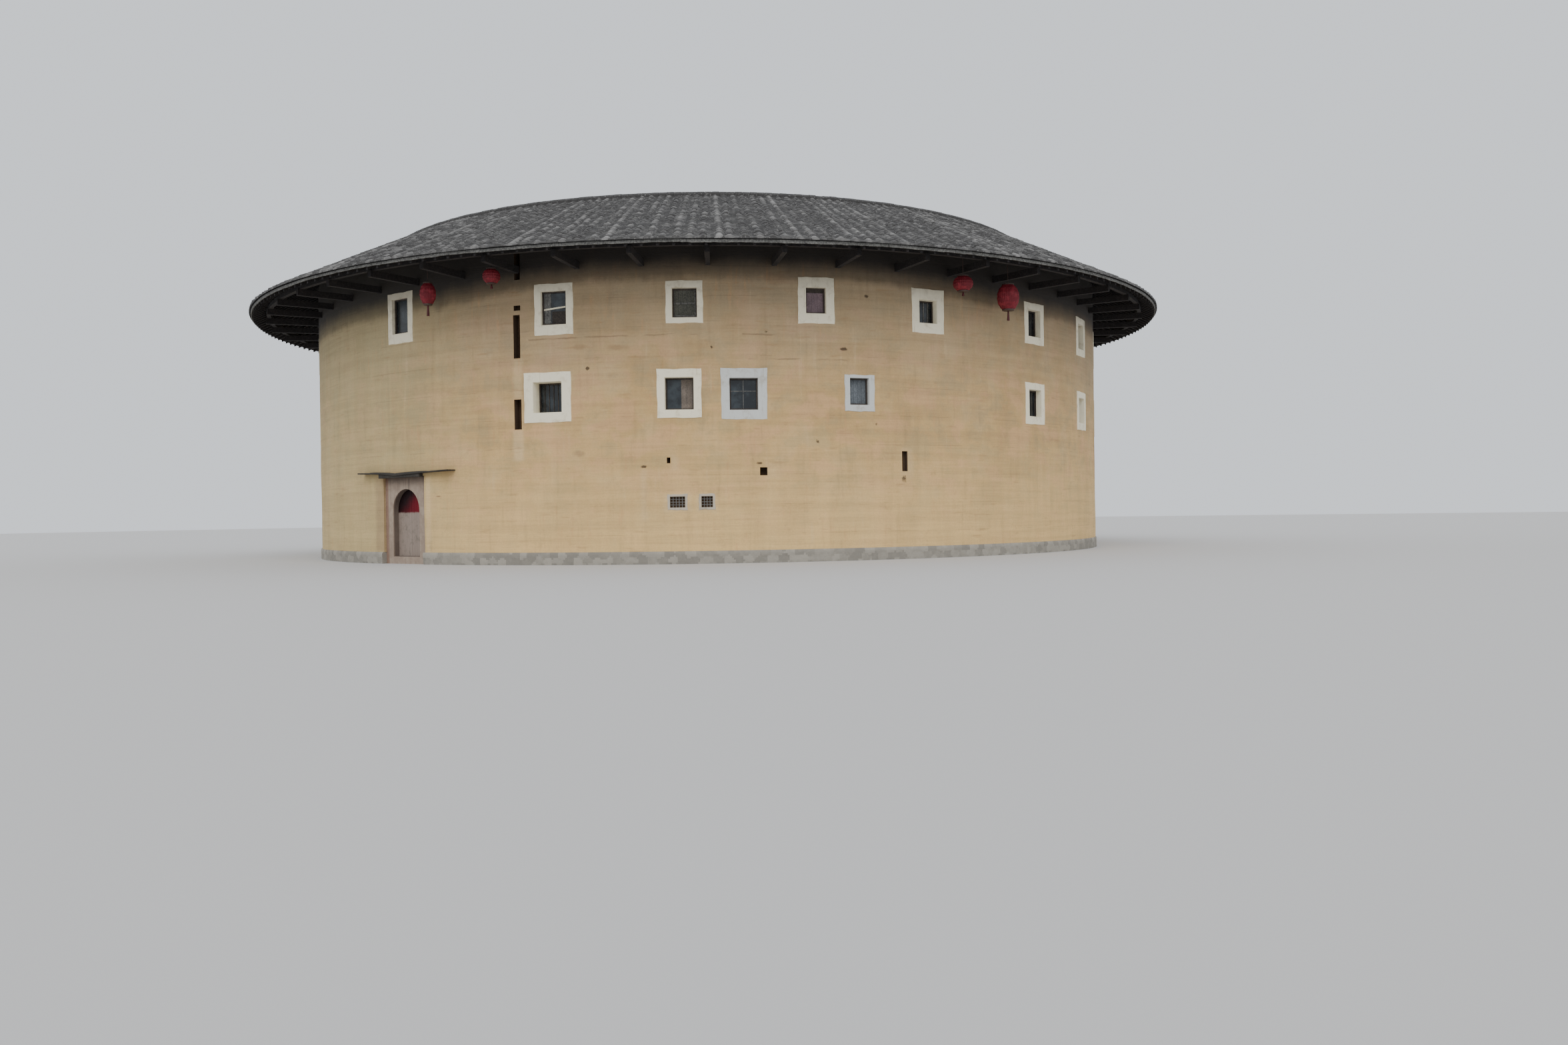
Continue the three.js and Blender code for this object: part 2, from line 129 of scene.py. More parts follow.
def ringBoxes(theta, lateral, radius, height):
    # boxes that face their own direction theta; a range is (low, high), one value or one for each box
    theta = np.atleast_1d(np.asarray(theta, float))[:, None]
    spans = []
    for (low, high), share in zip((lateral, radius, height), cubeShares):
        low, high = (np.broadcast_to(np.asarray(v, float), theta.shape[:1])[:, None] for v in (low, high))
        spans.append(low + (high - low) * share)
    points = placed(theta, *spans)
    quads = cubeQuads[None] + 8 * np.arange(len(theta))[:, None, None]
    return points.reshape(-1, 3), quads.reshape(-1, 4)


def outward(points, quads):
    # the volume that the faces enclose tells which way they point
    a, b, c, d = points[quads].transpose(1, 0, 2)
    volume = (a * np.cross(b, c)).sum() + (a * np.cross(c, d)).sum()
    return points, quads if volume > 0 else quads[:, ::-1]


def capQuads(count):
    # a convex end face with an even count of points, cut into quads
    first = np.arange(1, count - 2, 2)
    return np.stack([np.zeros_like(first), first, first + 1, first + 2], 1)


def closedTube(grid):
    # a section carried along a path: each row of the grid is one section, and both ends are closed
    rows, count = grid.shape[:2]
    ends = capQuads(count)
    quads = np.concatenate([gridQuads(rows, count, False, True), ends[:, ::-1], ends + (rows - 1) * count])
    return outward(grid.reshape(-1, 3), quads)


def turnedShape(profile, sides, middle, pleat=0.0, pleats=0):
    # radius and height turned about an upright line: r = radius (1 - pleat |sin(pleats phi / 2)|)
    phi = ringAngles(sides)
    profile = np.array(profile)
    radius = profile[:, :1] * (1 - pleat * np.abs(np.sin(pleats * phi / 2)))[None]
    x, y = middle[0] + radius * np.cos(phi), middle[1] + radius * np.sin(phi)
    return closedTube(np.stack(np.broadcast_arrays(x, y, profile[:, 1:]), -1))


def barSection(back, front, low, high, ease, towards=1):
    # depth and height of the six corners of a bar's section: its two front edges are eased
    slant = front - towards * ease
    return (np.concatenate([back, slant, front, front, slant, back], 1),
            np.concatenate([low, low, low + ease, high - ease, high, high], 1))


def wave(seed, count, theta, z, turns=(3, 40), heights=(0.3, 3.0)):
    # smooth unevenness: a sum of sine waves that close round the ring
    rng = np.random.default_rng(seed)
    total = 0
    for _ in range(count):
        n = rng.integers(*turns)
        m = rng.uniform(*heights) * rng.choice([-1, 1])
        total = total + np.sin(n * theta + m * z + rng.uniform(0, 2 * np.pi)) * rng.uniform(0.4, 1)
    return total / count ** 0.5


def slopeHeight(radius, side):
    # top of the boards: a straight fall from the ridge to the eave
    s = ringSizes
    run = (radius - s["ridgeRadius"]) / (s[side + "Eave"] - s["ridgeRadius"])
    return s["ridgeHeight"] - (s["ridgeHeight"] - s["eaveHeight"]) * run


# Materials

class Wire:
    # an output socket; arithmetic on it adds Math nodes
    def __init__(self, finish, socket):
        self.finish, self.socket = finish, socket

    def math(self, operation, *values):
        return self.finish.node("ShaderNodeMath", {"operation": operation}, dict(enumerate(values)))

    def __add__(self, other):
        return self.math("ADD", self, other)

    def __sub__(self, other):
        return self.math("SUBTRACT", self, other)

    def __rsub__(self, other):
        return self.math("SUBTRACT", other, self)

    def __mul__(self, other):
        return self.math("MULTIPLY", self, other)

    def __truediv__(self, other):
        return self.math("DIVIDE", self, other)

    __radd__ = __add__
    __rmul__ = __mul__


class Finish:
    # a Principled material; its socket values are given by name
    def __init__(self, name, **values):
        self.material = bpy.data.materials.new(name)
        self.material.use_nodes = True
        self.tree = self.material.node_tree
        self.tree.nodes.clear()
        out = self.tree.nodes.new("ShaderNodeOutputMaterial")
        self.shader = self.tree.nodes.new("ShaderNodeBsdfPrincipled")
        self.tree.links.new(self.shader.outputs[0], out.inputs[0])
        self.place = self.node("ShaderNodeTexCoord", {}, {}, "Object")
        for key, value in values.items():
            self.set(key.replace("_", " "), value)

    def feed(self, socket, value):
        # links a Wire to the input socket, or gives it a fixed value
        if isinstance(value, Wire):
            self.tree.links.new(value.socket, socket)
        else:
            socket.default_value = value

    def node(self, kind, settings, sockets, output=0):
        node = self.tree.nodes.new(kind)
        for key, value in settings.items():
            setattr(node, key, value)
        for key, value in sockets.items():
            self.feed(node.inputs[key], value)
        return Wire(self, node.outputs[output])

    def set(self, key, value):
        self.feed(self.shader.inputs[key], value)

    def mix(self, first, second, factor):
        first, second = (v if isinstance(v, Wire) else (*v, 1) for v in (first, second))
        return self.node("ShaderNodeMix", {"data_type": "RGBA"}, {0: factor, 6: first, 7: second}, 2)

    def tint(self, colour, factor):
        # multiplies a colour by a grey value
        grey = self.node("ShaderNodeCombineColor", {}, {0: factor, 1: factor, 2: factor})
        return self.node("ShaderNodeMix", {"data_type": "RGBA", "blend_type": "MULTIPLY"},
                         {0: 1, 6: colour, 7: grey}, 2)

    def noise(self, scale, detail, roughness):
        # scale is one number, or one for each direction
        place = self.place
        if isinstance(scale, tuple):
            place, scale = self.node("ShaderNodeMapping", {}, {"Vector": place, "Scale": scale}), 1.0
        return self.node("ShaderNodeTexNoise", {}, {"Vector": place, "Scale": scale, "Detail": detail,
                                                    "Roughness": roughness})

    def between(self, value, low, high):
        # 0 below low, 1 above high, smooth on the way
        return self.node("ShaderNodeMapRange", {"interpolation_type": "SMOOTHSTEP"},
                         {"Value": value, "From Min": low, "From Max": high})

    def cover(self, colour, layers):
        # each layer: its colour, the value that it follows, where that starts and is full, and the amount
        for layer, value, low, high, amount in layers:
            colour = self.mix(colour, layer, self.between(value, low, high) * amount)
        return colour

    def shade(self, colour, layers):
        # each layer: the value that it follows, its two limits, the tone below them and what is added above
        for value, low, high, least, more in layers:
            colour = self.tint(colour, least + self.between(value, low, high) * more)
        return colour

    def done(self, colour, height, distance, strength):
        self.set("Base Color", colour)
        self.set("Normal", self.node("ShaderNodeBump", {}, {"Height": height, "Distance": distance,
                                                            "Strength": strength}))
        return self.material

    def axis(self, index):
        return self.node("ShaderNodeSeparateXYZ", {}, {0: self.place}, index)

    def vector(self, operation, other, output=1):
        return self.node("ShaderNodeVectorMath", {"operation": operation}, {0: self.place, 1: other}, output)

    def along(self, angle):
        # metres to the right of the middle of a direction, and 1 on that side of the ring, 0 beyond
        c, s = math.cos(math.radians(angle)), math.sin(math.radians(angle))
        lateral, ahead = self.vector("DOT_PRODUCT", (c, s, 0)), self.vector("DOT_PRODUCT", (s, -c, 0))
        return lateral, ahead.math("GREATER_THAN", ahead, 0.0)

    def patch(self, angle, width, low, high, blur, ragged=0.0):
        # 1 inside an upright rectangle of the wall, with blurred edges that ragged shifts
        lateral, near = self.along(angle)
        z = self.axis(2) + ragged
        side = self.between(lateral.math("ABSOLUTE", lateral + ragged), width / 2 + blur, width / 2 - blur)
        above, below = self.between(z, low - blur, low + blur), self.between(z, high + blur, high - blur)
        return near * side * above * below

    def spot(self, angle, height, size, flat, ragged):
        # 1 at a point of the wall, falling to 0 at its size; flat is its height for a width of 1
        lateral, near = self.along(angle)
        up = (self.axis(2) - height) / flat
        away = lateral.math("SQRT", lateral * lateral + up * up) + ragged
        return near * self.between(away, size, size * 0.35)

    def tone(self):
        return self.node("ShaderNodeAttribute", {"attribute_name": "tone"}, {}, "Fac")


# marks of the wall: pits (angle, height, size, flatness), painted dark as the shade in small hollows, stains
# (the same and an amount), pale and brown patches (angle, width, bottom, top, amount), of which the wide
# brown patch left of the doorway is painted shade by the worn jamb, and cracks (angle, length, height)
wallMarks = {
    "pits": [(57.39, 8.44, 0.11, 0.7), (45.93, 7.23, 0.10, 0.6), (54.59, 6.73, 0.17, 0.35),
             (51.5, 3.78, 0.08, 1.3), (39.89, 6.75, 0.07, 1.8), (58.4, 4.35, 0.07, 1.4),
             (26.23, 6.17, 0.05, 1.2), (32.39, 3.06, 0.12, 0.45), (61.85, 2.62, 0.12, 1.5),
             (45.0, 3.12, 0.16, 0.35)],
    "stains": [(25.5, 6.86, 0.34, 0.35, 0.4), (29.65, 6.80, 0.42, 0.3, 0.4), (6.49, 2.26, 0.22, 0.2, 0.8),
               (25.08, 3.52, 0.3, 0.4, 0.4), (47.0, 8.9, 0.5, 0.5, 0.3)],
    "pale": [(17.84, 0.38, 3.35, 4.32, 0.5), (17.90, 0.32, 5.32, 6.56, 0.4), (32.35, 0.20, 1.35, 2.95, 0.3),
             (35.75, 0.22, 2.95, 3.35, 0.3), (46.2, 0.26, 2.65, 3.10, 0.2), (62.3, 0.42, 2.6, 3.6, 0.25),
             (35.99, 0.86, 1.62, 2.22, 0.3), (39.19, 0.66, 1.62, 2.22, 0.3), (4.70, 0.26, 0.40, 2.90, 0.45)],
    "brown": [(-4.75, 0.42, 0.40, 3.00, 0.5), (-3.95, 0.08, 0.40, 2.97, 0.75)],
    "cracks": [(29.4, 5.8, 7.155), (46.0, 1.6, 7.15), (49.5, 3.2, 6.39)], "crackHalf": 0.022,
    # after liftHeight: where the painted shade below the eave starts, how much higher it starts where the
    # wall faces its angle, and that angle
    "liftHeight": 0.93, "eaveShadeEdge": 8.40, "eaveShadeRise": 0.45, "eaveShadeAngle": 42,
}


def earthFinish():
    # ochre rammed earth: blotches of pinkish tan and olive beige, uneven courses, gravel, pits and repairs,
    # with painted shade below the eave, in the pits and in the blind holes
    f = Finish("rammed_earth", Roughness=0.95)
    z = f.axis(2)
    broad = f.noise(0.13, 4, 0.6)
    patches = f.noise(0.7, 6, 0.65)
    blotch = f.noise((0.9, 0.9, 1.5), 4, 0.6)
    mottle = f.noise(2.6, 5, 0.7)
    grit = f.noise(16, 6, 0.75)
    drips = f.noise((1.5, 1.5, 0.14), 5, 0.6)
    runs = f.noise((5, 5, 0.55), 4, 0.6)
    streaks = f.noise((8, 8, 0.8), 4, 0.6)
    beds = f.noise((0.16, 0.16, 4.2), 5, 0.7)
    lines = f.noise((0.42, 0.42, 13), 3, 0.6)
    dashes = f.noise((1.1, 1.1, 8), 3, 0.55)
    colour = f.mix((0.52, 0.330, 0.133), (0.62, 0.402, 0.171), f.between(broad, 0.35, 0.65))
    colour = f.cover(colour, [
        ((0.42, 0.290, 0.155), patches, 0.46, 0.70, 0.50),
        ((0.68, 0.500, 0.285), patches, 0.54, 0.32, 0.35),
        ((0.67, 0.395, 0.200), blotch, 0.51, 0.62, 0.60),
        ((0.42, 0.325, 0.165), blotch, 0.48, 0.37, 0.42),
        ((0.80, 0.545, 0.235), z + broad * 3.0, 6.6, 1.8, 0.75),
        # greyer and darker towards the top: partly dust, partly painted shade from the eave
        ((0.35, 0.280, 0.190), z + drips * 1.6 + broad * 3.5, 6.8, 12.2, 0.80),
        ((0.47, 0.395, 0.205), f.axis(0) + broad * 4, 7.0, 0.5, 0.55),
        ((0.36, 0.205, 0.100), mottle, 0.56, 0.72, 0.20)])
    # marks of the wall, at their own places
    for *spot, amount in wallMarks["stains"]:
        colour = f.mix(colour, (0.27, 0.155, 0.080), f.spot(*spot, mottle * 0.5 - 0.25) * amount)
    # the wide brown patch left of the doorway is painted shade by the worn jamb
    for kind, blur, mark in (("pale", 0.08, (0.76, 0.560, 0.310)), ("brown", 0.14, (0.30, 0.200, 0.115))):
        for *patch, amount in wallMarks[kind]:
            colour = f.mix(colour, mark, f.patch(*patch, blur, mottle * 0.22 - 0.11) * amount)
    colour = f.shade(colour, [(drips, 0.38, 0.62, 0.93, 0.07), (runs, 0.30, 0.46, 0.92, 0.08)])
    rusty = f.between(patches, 0.44, 0.58) * 0.28
    colour = f.cover(colour, [((0.74, 0.560, 0.350), runs, 0.60, 0.74, 0.16),
                              ((0.60, 0.320, 0.140), streaks, 0.56, 0.68, rusty)])
    colour = f.shade(colour, [(beds, 0.38, 0.6, 0.92, 0.10), (lines, 0.30, 0.42, 0.94, 0.06)])
    colour = f.mix((0.34, 0.195, 0.090), colour, f.between(dashes, 0.24, 0.40) * 0.36 + 0.64)
    # edges of the lifts: long level lines, broken where the blotches are light
    lift = z.math("FRACT", z / wallMarks["liftHeight"] + mottle * 0.05)
    edge = f.between(lift, 0.035, 0.0) * f.between(patches, 0.47, 0.58)
    colour = f.tint(colour, 1.0 - edge * 0.22)
    half = wallMarks["crackHalf"]
    for angle, length, height in wallMarks["cracks"]:
        crack = f.patch(angle, length, height - half, height + half, 0.02, mottle * 0.10 - 0.05)
        colour = f.mix(colour, (0.20, 0.135, 0.080), crack * f.between(dashes, 0.60, 0.42) * 0.65)
    # pits: dark spots as painted shade in small hollows
    for spot in wallMarks["pits"]:
        pit = f.spot(*spot, mottle * 0.30 + grit * 0.10 - 0.19)
        colour = f.mix(colour, (0.055, 0.033, 0.019), pit * 0.85)
    colour = f.tint(colour, 0.84 + grit * 0.32)
    # painted shade below the eave, darkening to near black: its edge is highest where the wall faces the
    # angle given in wallMarks
    facing = f.along(wallMarks["eaveShadeAngle"] - 90)[0] / ringSizes["wallOuter"]
    border = f.between(facing, 0.81, 1.0) * wallMarks["eaveShadeRise"] + wallMarks["eaveShadeEdge"]
    above = z + mottle * 0.22 + drips * 0.35 - 0.28 - border
    colour = f.tint(colour, 1.0 - f.between(above, -0.12, 0.24) * 0.42 - f.between(above, -1.1, 0.0) * 0.08)
    colour = f.cover(colour, [((0.024, 0.021, 0.020), above + grit * 0.1, 0.08, 0.88, 0.94)])
    # the faces of a blind hole have the tone 1 and are painted dark brown, as painted shade in the hole
    colour = f.mix(colour, (0.075, 0.043, 0.022), f.tone())
    return f.done(colour, beds * 0.8 + lines * 0.4 + grit * 0.35 + patches * 0.9 + dashes * 0.3, 0.02, 0.7)


def limeFinish(name, clean, dirty, amount):
    # whitewash or plaster: brushed on, with stains, drips, and painted shade towards the eave
    f = Finish(name, Roughness=0.85)
    stains = f.noise(3.2, 5, 0.65)
    drips = f.noise((9, 9, 0.9), 4, 0.6)
    grit = f.noise(40, 4, 0.6)
    colour = f.cover(clean, [(dirty, stains, 0.50, 0.74, amount), (dirty, drips, 0.58, 0.74, amount * 0.7),
                             ((0.33, 0.290, 0.225), f.axis(2) + stains * 0.6, 8.55, 9.45, 0.65)])
    return f.done(f.tint(colour, 0.94 + grit * 0.12), stains * 0.6 + grit * 0.3, 0.012, 0.8)


def portalFinish():
    # the plastered stone round the door: warm grey, with a reddish strip at its left edge, a painted shadow
    # line at its right edge and painted shadow below the canopy, with upright stains; the last layer is
    # painted shade on the faces in the arch, behind the front
    f = Finish("door_stone", Roughness=0.88)
    z, lateral = f.axis(2), f.along(0)[0]
    stains = f.noise(3.4, 5, 0.65)
    runs = f.noise((7, 7, 0.5), 4, 0.6)
    grit = f.noise(45, 4, 0.6)
    colour = f.mix((0.29, 0.218, 0.165), (0.37, 0.290, 0.222), f.between(stains, 0.35, 0.65))
    colour = f.cover(colour, [
        ((0.17, 0.115, 0.085), runs, 0.50, 0.72, 0.55),
        # painted shadow below the canopy; two layers on, a painted shadow line at the right edge
        ((0.08, 0.060, 0.048), z + stains * 0.5, 2.85, 3.25, 0.85),
        ((0.19, 0.088, 0.055), stains * 0.06 - lateral, 0.96, 1.06, 0.60),
        ((0.10, 0.070, 0.055), lateral + stains * 0.04, 1.10, 1.14, 0.80)])
    run = f.patch(0.59, 0.07, 2.50, 2.97, 0.05, stains * 0.06 - 0.03)
    colour = f.mix(colour, (0.10, 0.075, 0.060), run * 0.65)
    # painted shade on the faces in the arch, behind the front
    colour = f.cover(colour, [((0.075, 0.052, 0.043), f.axis(1) + stains * 0.03, -16.305, -16.25, 0.75)])
    return f.done(f.tint(colour, 0.90 + grit * 0.20), stains * 0.6 + grit * 0.3, 0.012, 0.8)


def timberFinish(name, dark, light, grainScale=1.0, roughness=0.8):
    # weathered timber: fine fibres, streaks and blotches
    f = Finish(name, Roughness=roughness)
    fibres = f.noise(26 * grainScale, 6, 0.7)
    blotch = f.noise(2.2, 4, 0.6)
    colour = f.mix(dark, light, f.between(fibres, 0.35, 0.66))
    return f.done(f.shade(colour, [(blotch, 0.3, 0.7, 0.72, 0.4)]), fibres, 0.006, 0.7)


def floorFinish():
    # floor boards laid round the ring, with dark joints that follow the distance from the middle
    f = Finish("floor_boards", Roughness=0.8)
    flat = f.vector("MULTIPLY", (1, 1, 0), 0)
    away = f.node("ShaderNodeVectorMath", {"operation": "LENGTH"}, {0: flat}, 1)
    share = away.math("FRACT", away / 0.21)
    fibres = f.noise(14, 6, 0.7)
    colour = f.mix((0.055, 0.040, 0.029), (0.15, 0.108, 0.072), f.between(fibres, 0.35, 0.68))
    joint = f.between(share, 0.05, 0.0) + f.between(share, 0.95, 1.0)
    return f.done(f.tint(colour, 1 - joint * 0.75), fibres - joint, 0.006, 0.7)


def pavingFinish():
    # flagstones with sunk joints: the joints follow the cell edges of a Voronoi pattern
    f = Finish("flagstones", Roughness=0.88)
    cells = {"Vector": f.place, "Scale": 1.9}
    edge = f.node("ShaderNodeTexVoronoi", {"feature": "DISTANCE_TO_EDGE"}, cells, "Distance")
    own = f.node("ShaderNodeSeparateColor", {}, {0: f.node("ShaderNodeTexVoronoi", {}, cells, "Color")}, 0)
    mottled = f.noise(7, 6, 0.7)
    colour = f.mix((0.17, 0.16, 0.14), (0.36, 0.34, 0.30), own * 0.6 + mottled * 0.4)
    joint = f.between(edge, 0.045, 0.015)
    return f.done(f.mix(colour, (0.07, 0.065, 0.055), joint), mottled * 0.4 - joint, 0.012, 0.8)


def tileFinish():
    # unglazed grey clay tiles: every tile has its own tone, with lichen and soot, darker at the left end
    f = Finish("grey_clay_tile", Roughness=0.88)
    lichen = f.noise(7, 6, 0.7)
    soot = f.noise(0.55, 5, 0.6)
    grit = f.noise(60, 3, 0.6)
    specks = f.noise(15, 4, 0.6)
    colour = f.mix((0.030, 0.028, 0.027), (0.30, 0.290, 0.278), f.between(f.tone(), 0.0, 1.15))
    colour = f.cover(colour, [
        ((0.22, 0.210, 0.190), lichen, 0.56, 0.74, 0.35),
        ((0.33, 0.320, 0.300), specks, 0.57, 0.70, 0.48),
        ((0.020, 0.019, 0.018), specks, 0.44, 0.32, 0.35),
        ((0.045, 0.042, 0.039), soot, 0.50, 0.75, 0.35)])
    colour = f.shade(colour, [(f.axis(0), 0.0, -13.0, 1.0, -0.50)])
    return f.done(f.tint(colour, 0.85 + grit * 0.3), grit + lichen * 0.5, 0.004, 0.6)


def stoneFinish(name, dark, light):
    # rough field stone with a tone for each stone
    f = Finish(name, Roughness=0.9)
    mottled = f.noise(6, 6, 0.7)
    colour = f.mix(dark, light, f.between(f.tone() * 0.6 + mottled * 0.5, 0.25, 0.85))
    return f.done(colour, mottled, 0.02, 0.8)


def doorFinish():
    # crimson paint above, painted lighter to the right and darker towards the top as painted light and shade,
    # worn pale grey below, over old boards
    f = Finish("door_paint", Roughness=0.62, Specular_IOR_Level=0.2)
    z, lateral, tone = f.axis(2), f.along(0)[0], f.tone()
    fibres = f.noise((34, 34, 2.2), 5, 0.65)
    worn = f.noise(5.5, 5, 0.65)
    # painted light: the red is lighter towards the right; the second layer below is painted shade towards the
    # top and the left
    lit = f.between(lateral, -0.40, 0.55)
    red = f.mix((0.060, 0.0015, 0.005), (0.20, 0.004, 0.014), fibres * 0.15 + tone * 0.15 + lit * 0.7)
    red = f.cover(red, [((0.032, 0.003, 0.005), worn, 0.52, 0.76, 0.7),
                        ((0.008, 0.003, 0.004), z - lateral * 0.8 + worn * 0.25, 2.00, 2.60, 0.95)])
    grey = f.mix((0.25, 0.195, 0.160), (0.34, 0.275, 0.230), fibres * 0.6 + tone * 0.4)
    grey = f.cover(grey, [((0.17, 0.145, 0.115), worn, 0.48, 0.72, 0.7)])
    return f.done(f.mix(grey, red, f.between(z + worn * 0.08, 1.75, 1.82)), fibres, 0.003, 0.6)


def clothFinish():
    # red lantern cloth, dulled and sun-faded in patches
    f = Finish("lantern_cloth", Roughness=0.6, Specular_IOR_Level=0.3)
    faded, weave = f.noise(5, 4, 0.6), f.noise(220, 2, 0.5)
    colour = f.mix((0.140, 0.009, 0.016), (0.28, 0.028, 0.040), f.between(faded, 0.42, 0.72))
    return f.done(f.mix(colour, (0.050, 0.012, 0.014), f.tone()), weave, 0.001, 0.5)


def glassFinish():
    # old dusty window glass; its near-black colour is painted shade of the unlit room behind it
    f = Finish("dusty_glass", Roughness=0.22)
    dust = f.between(f.noise(2.6, 4, 0.6), 0.42, 0.7)
    f.set("Base Color", f.mix((0.006, 0.009, 0.012), (0.030, 0.040, 0.047), dust))
    return f.material


finishes = {
    "earth": earthFinish(),
    "whitewash": limeFinish("whitewash", (0.90, 0.825, 0.625), (0.60, 0.50, 0.34), 0.7),
    "greyLime": limeFinish("grey_lime", (0.60, 0.605, 0.575), (0.44, 0.41, 0.35), 0.8),
    "doorStone": portalFinish(),
    "concrete": limeFinish("vent_concrete", (0.50, 0.435, 0.335), (0.34, 0.29, 0.215), 0.8),
    "lattice": limeFinish("vent_lattice", (0.19, 0.19, 0.18), (0.10, 0.098, 0.09), 0.8),
    "darkTimber": timberFinish("dark_timber", (0.022, 0.017, 0.014), (0.062, 0.048, 0.037)),
    "brownTimber": timberFinish("brown_timber", (0.030, 0.022, 0.017), (0.070, 0.052, 0.040)),
    "taupeTimber": timberFinish("taupe_boards", (0.13, 0.105, 0.085), (0.21, 0.170, 0.140)),
    "plumTimber": timberFinish("plum_boards", (0.15, 0.105, 0.118), (0.23, 0.162, 0.178)),
    "blueTimber": timberFinish("blue_grey_boards", (0.085, 0.096, 0.106), (0.15, 0.166, 0.182)),
    "greenTimber": timberFinish("green_grey_boards", (0.060, 0.060, 0.047), (0.13, 0.128, 0.103)),
    "greyTimber": timberFinish("grey_timber", (0.075, 0.073, 0.068), (0.20, 0.195, 0.18), 0.7, 0.9),
    # very dark timber for the soffit, rafters and eave beams: partly its own colour, partly painted shade
    # under the eave
    "soffitTimber": timberFinish("soffit_boards", (0.012, 0.010, 0.010), (0.030, 0.025, 0.024), 0.6, 0.95),
    "canopyTimber": timberFinish("canopy_boards", (0.020, 0.017, 0.013), (0.062, 0.052, 0.040), 1.4),
    "galleryTimber": timberFinish("gallery_timber", (0.075, 0.052, 0.036), (0.190, 0.135, 0.092)),
    "floorBoards": floorFinish(),
    "paving": pavingFinish(),
    "cap": timberFinish("lantern_caps", (0.030, 0.018, 0.016), (0.10, 0.055, 0.040), 2.0, 0.6),
    "tile": tileFinish(),
    "stone": stoneFinish("field_stone", (0.23, 0.212, 0.178), (0.34, 0.312, 0.262)),
    "door": doorFinish(),
    "cloth": clothFinish(),
    "glass": glassFinish(),
}
print("materials ready")


# Windows: angle, width, middle height, height, kind, set back. The front ones are seen, the far ones repeat.

windowSizes = {
    "thirdFront": [
        (0.29, 0.85, 8.40, 1.18, "glass", 0.10), (22.39, 0.85, 8.13, 1.06, "whiteRail", 0.08),
        (37.04, 0.78, 8.15, 0.93, "greenBoards", 0.16), (51.49, 0.66, 8.25, 0.82, "plumBoards", 0.12),
        (65.39, 0.70, 8.09, 0.76, "paleBars", 0.22)],
    "secondFront": [
        (21.49, 0.98, 5.32, 0.97, "darkBars", 0.42), (36.34, 0.90, 5.32, 1.01, "halfBoard", 0.20),
        (43.34, 0.90, 5.29, 1.00, "mullions", 0.14), (56.44, 0.66, 5.40, 0.86, "blueBoards", 0.12)],
    "thirdMiddle": 8.15, "secondMiddle": 5.32, "farKinds": ("darkBars", "greenBoards", "mullions"),
    "farFirst": 83.69, "farSpacing": 15.0, "farCount": 17, "farWidth": 0.80, "farHeight": 0.95,
    "farSetBack": 0.20,
}
# surround of each front window: border at the left, right, bottom and top, and how clean it is
surroundSizes = {
    "thirdFront": [(0.24, 0.26, 0.34, 0.20, "clean"), (0.24, 0.24, 0.33, 0.24, "clean"),
                   (0.20, 0.19, 0.18, 0.22, "clean"), (0.26, 0.28, 0.33, 0.32, "clean"),
                   (0.29, 0.29, 0.34, 0.36, "clean")],
    "secondFront": [(0.33, 0.33, 0.32, 0.31, "clean"), (0.25, 0.25, 0.26, 0.27, "clean"),
                    (0.27, 0.29, 0.30, 0.31, "grey"), (0.18, 0.20, 0.21, 0.10, "grey")],
    "far": (0.24, 0.24, 0.28, 0.24, "clean"),
}


def windowList():
    # rows of storey, angle, width, middle height, height, kind, set back and border
    s = windowSizes
    rows = []
    for storey in ("third", "second"):
        for window, border in zip(s[storey + "Front"], surroundSizes[storey + "Front"]):
            rows.append((storey, *window, border))
        for step in range(s["farCount"]):
            rows.append((storey, s["farFirst"] + s["farSpacing"] * step, s["farWidth"], s[storey + "Middle"],
                         s["farHeight"], s["farKinds"][step % len(s["farKinds"])], s["farSetBack"],
                         surroundSizes["far"]))
    return rows


allWindows = windowList()

# Blind slots, holes and vents of the wall: angle, width, bottom, top, depth
wallPockets = [
    (17.99, 0.21, 9.10, 10.03, 0.30), (17.94, 0.24, 8.12, 8.28, 0.20), (17.84, 0.24, 6.60, 7.98, 0.30),
    (17.84, 0.26, 4.33, 5.29, 0.30), (45.39, 0.23, 2.74, 2.99, 0.26), (35.09, 0.11, 3.15, 3.33, 0.20),
    (61.99, 0.20, 2.85, 3.50, 0.16), (35.99, 0.48, 1.76, 2.11, 0.12), (39.19, 0.36, 1.76, 2.11, 0.12),
    (-15.81, 0.12, 3.18, 3.50, 0.16),
]


# Rammed earth wall

wallSizes = {"angleStep": 0.9, "heightStep": 0.19, "lineRoom": 0.45, "unevenness": 0.009, "waves": 24,
             "seed": 3, "ledgeGap": 0.001, "solid": 0, "through": 1, "pocket": 2, "firstJoint": 16.19,
             "segment": 30.0, "segments": 11, "doorHalf": 1.13, "passageHalf": 0.90, "doorTop": 2.97,
             "stepBack": 16.11, "splay": 0.05, "splayWidth": 0.16, "sameLine": 1e-6}


def gridLines(low, high, step, edges):
    # even lines, left out where an edge close by has its own line
    edges = np.unique([low, high, *edges])
    lines = np.linspace(low, high, max(2, int(round((high - low) / step))) + 1)
    clear = np.abs(lines[:, None] - edges[None, :]).min(1) > step * wallSizes["lineRoom"]
    return np.sort(np.concatenate([lines[clear], edges]))


def innerRadius(z):
    heights, radii = np.array(ringSizes["innerSteps"]).T
    return radii[np.clip(np.searchsorted(heights, z, "right") - 1, 0, len(radii) - 1)]


def isBetween(angle, low, high):
    return low < angle < high or low < angle - 360 < high


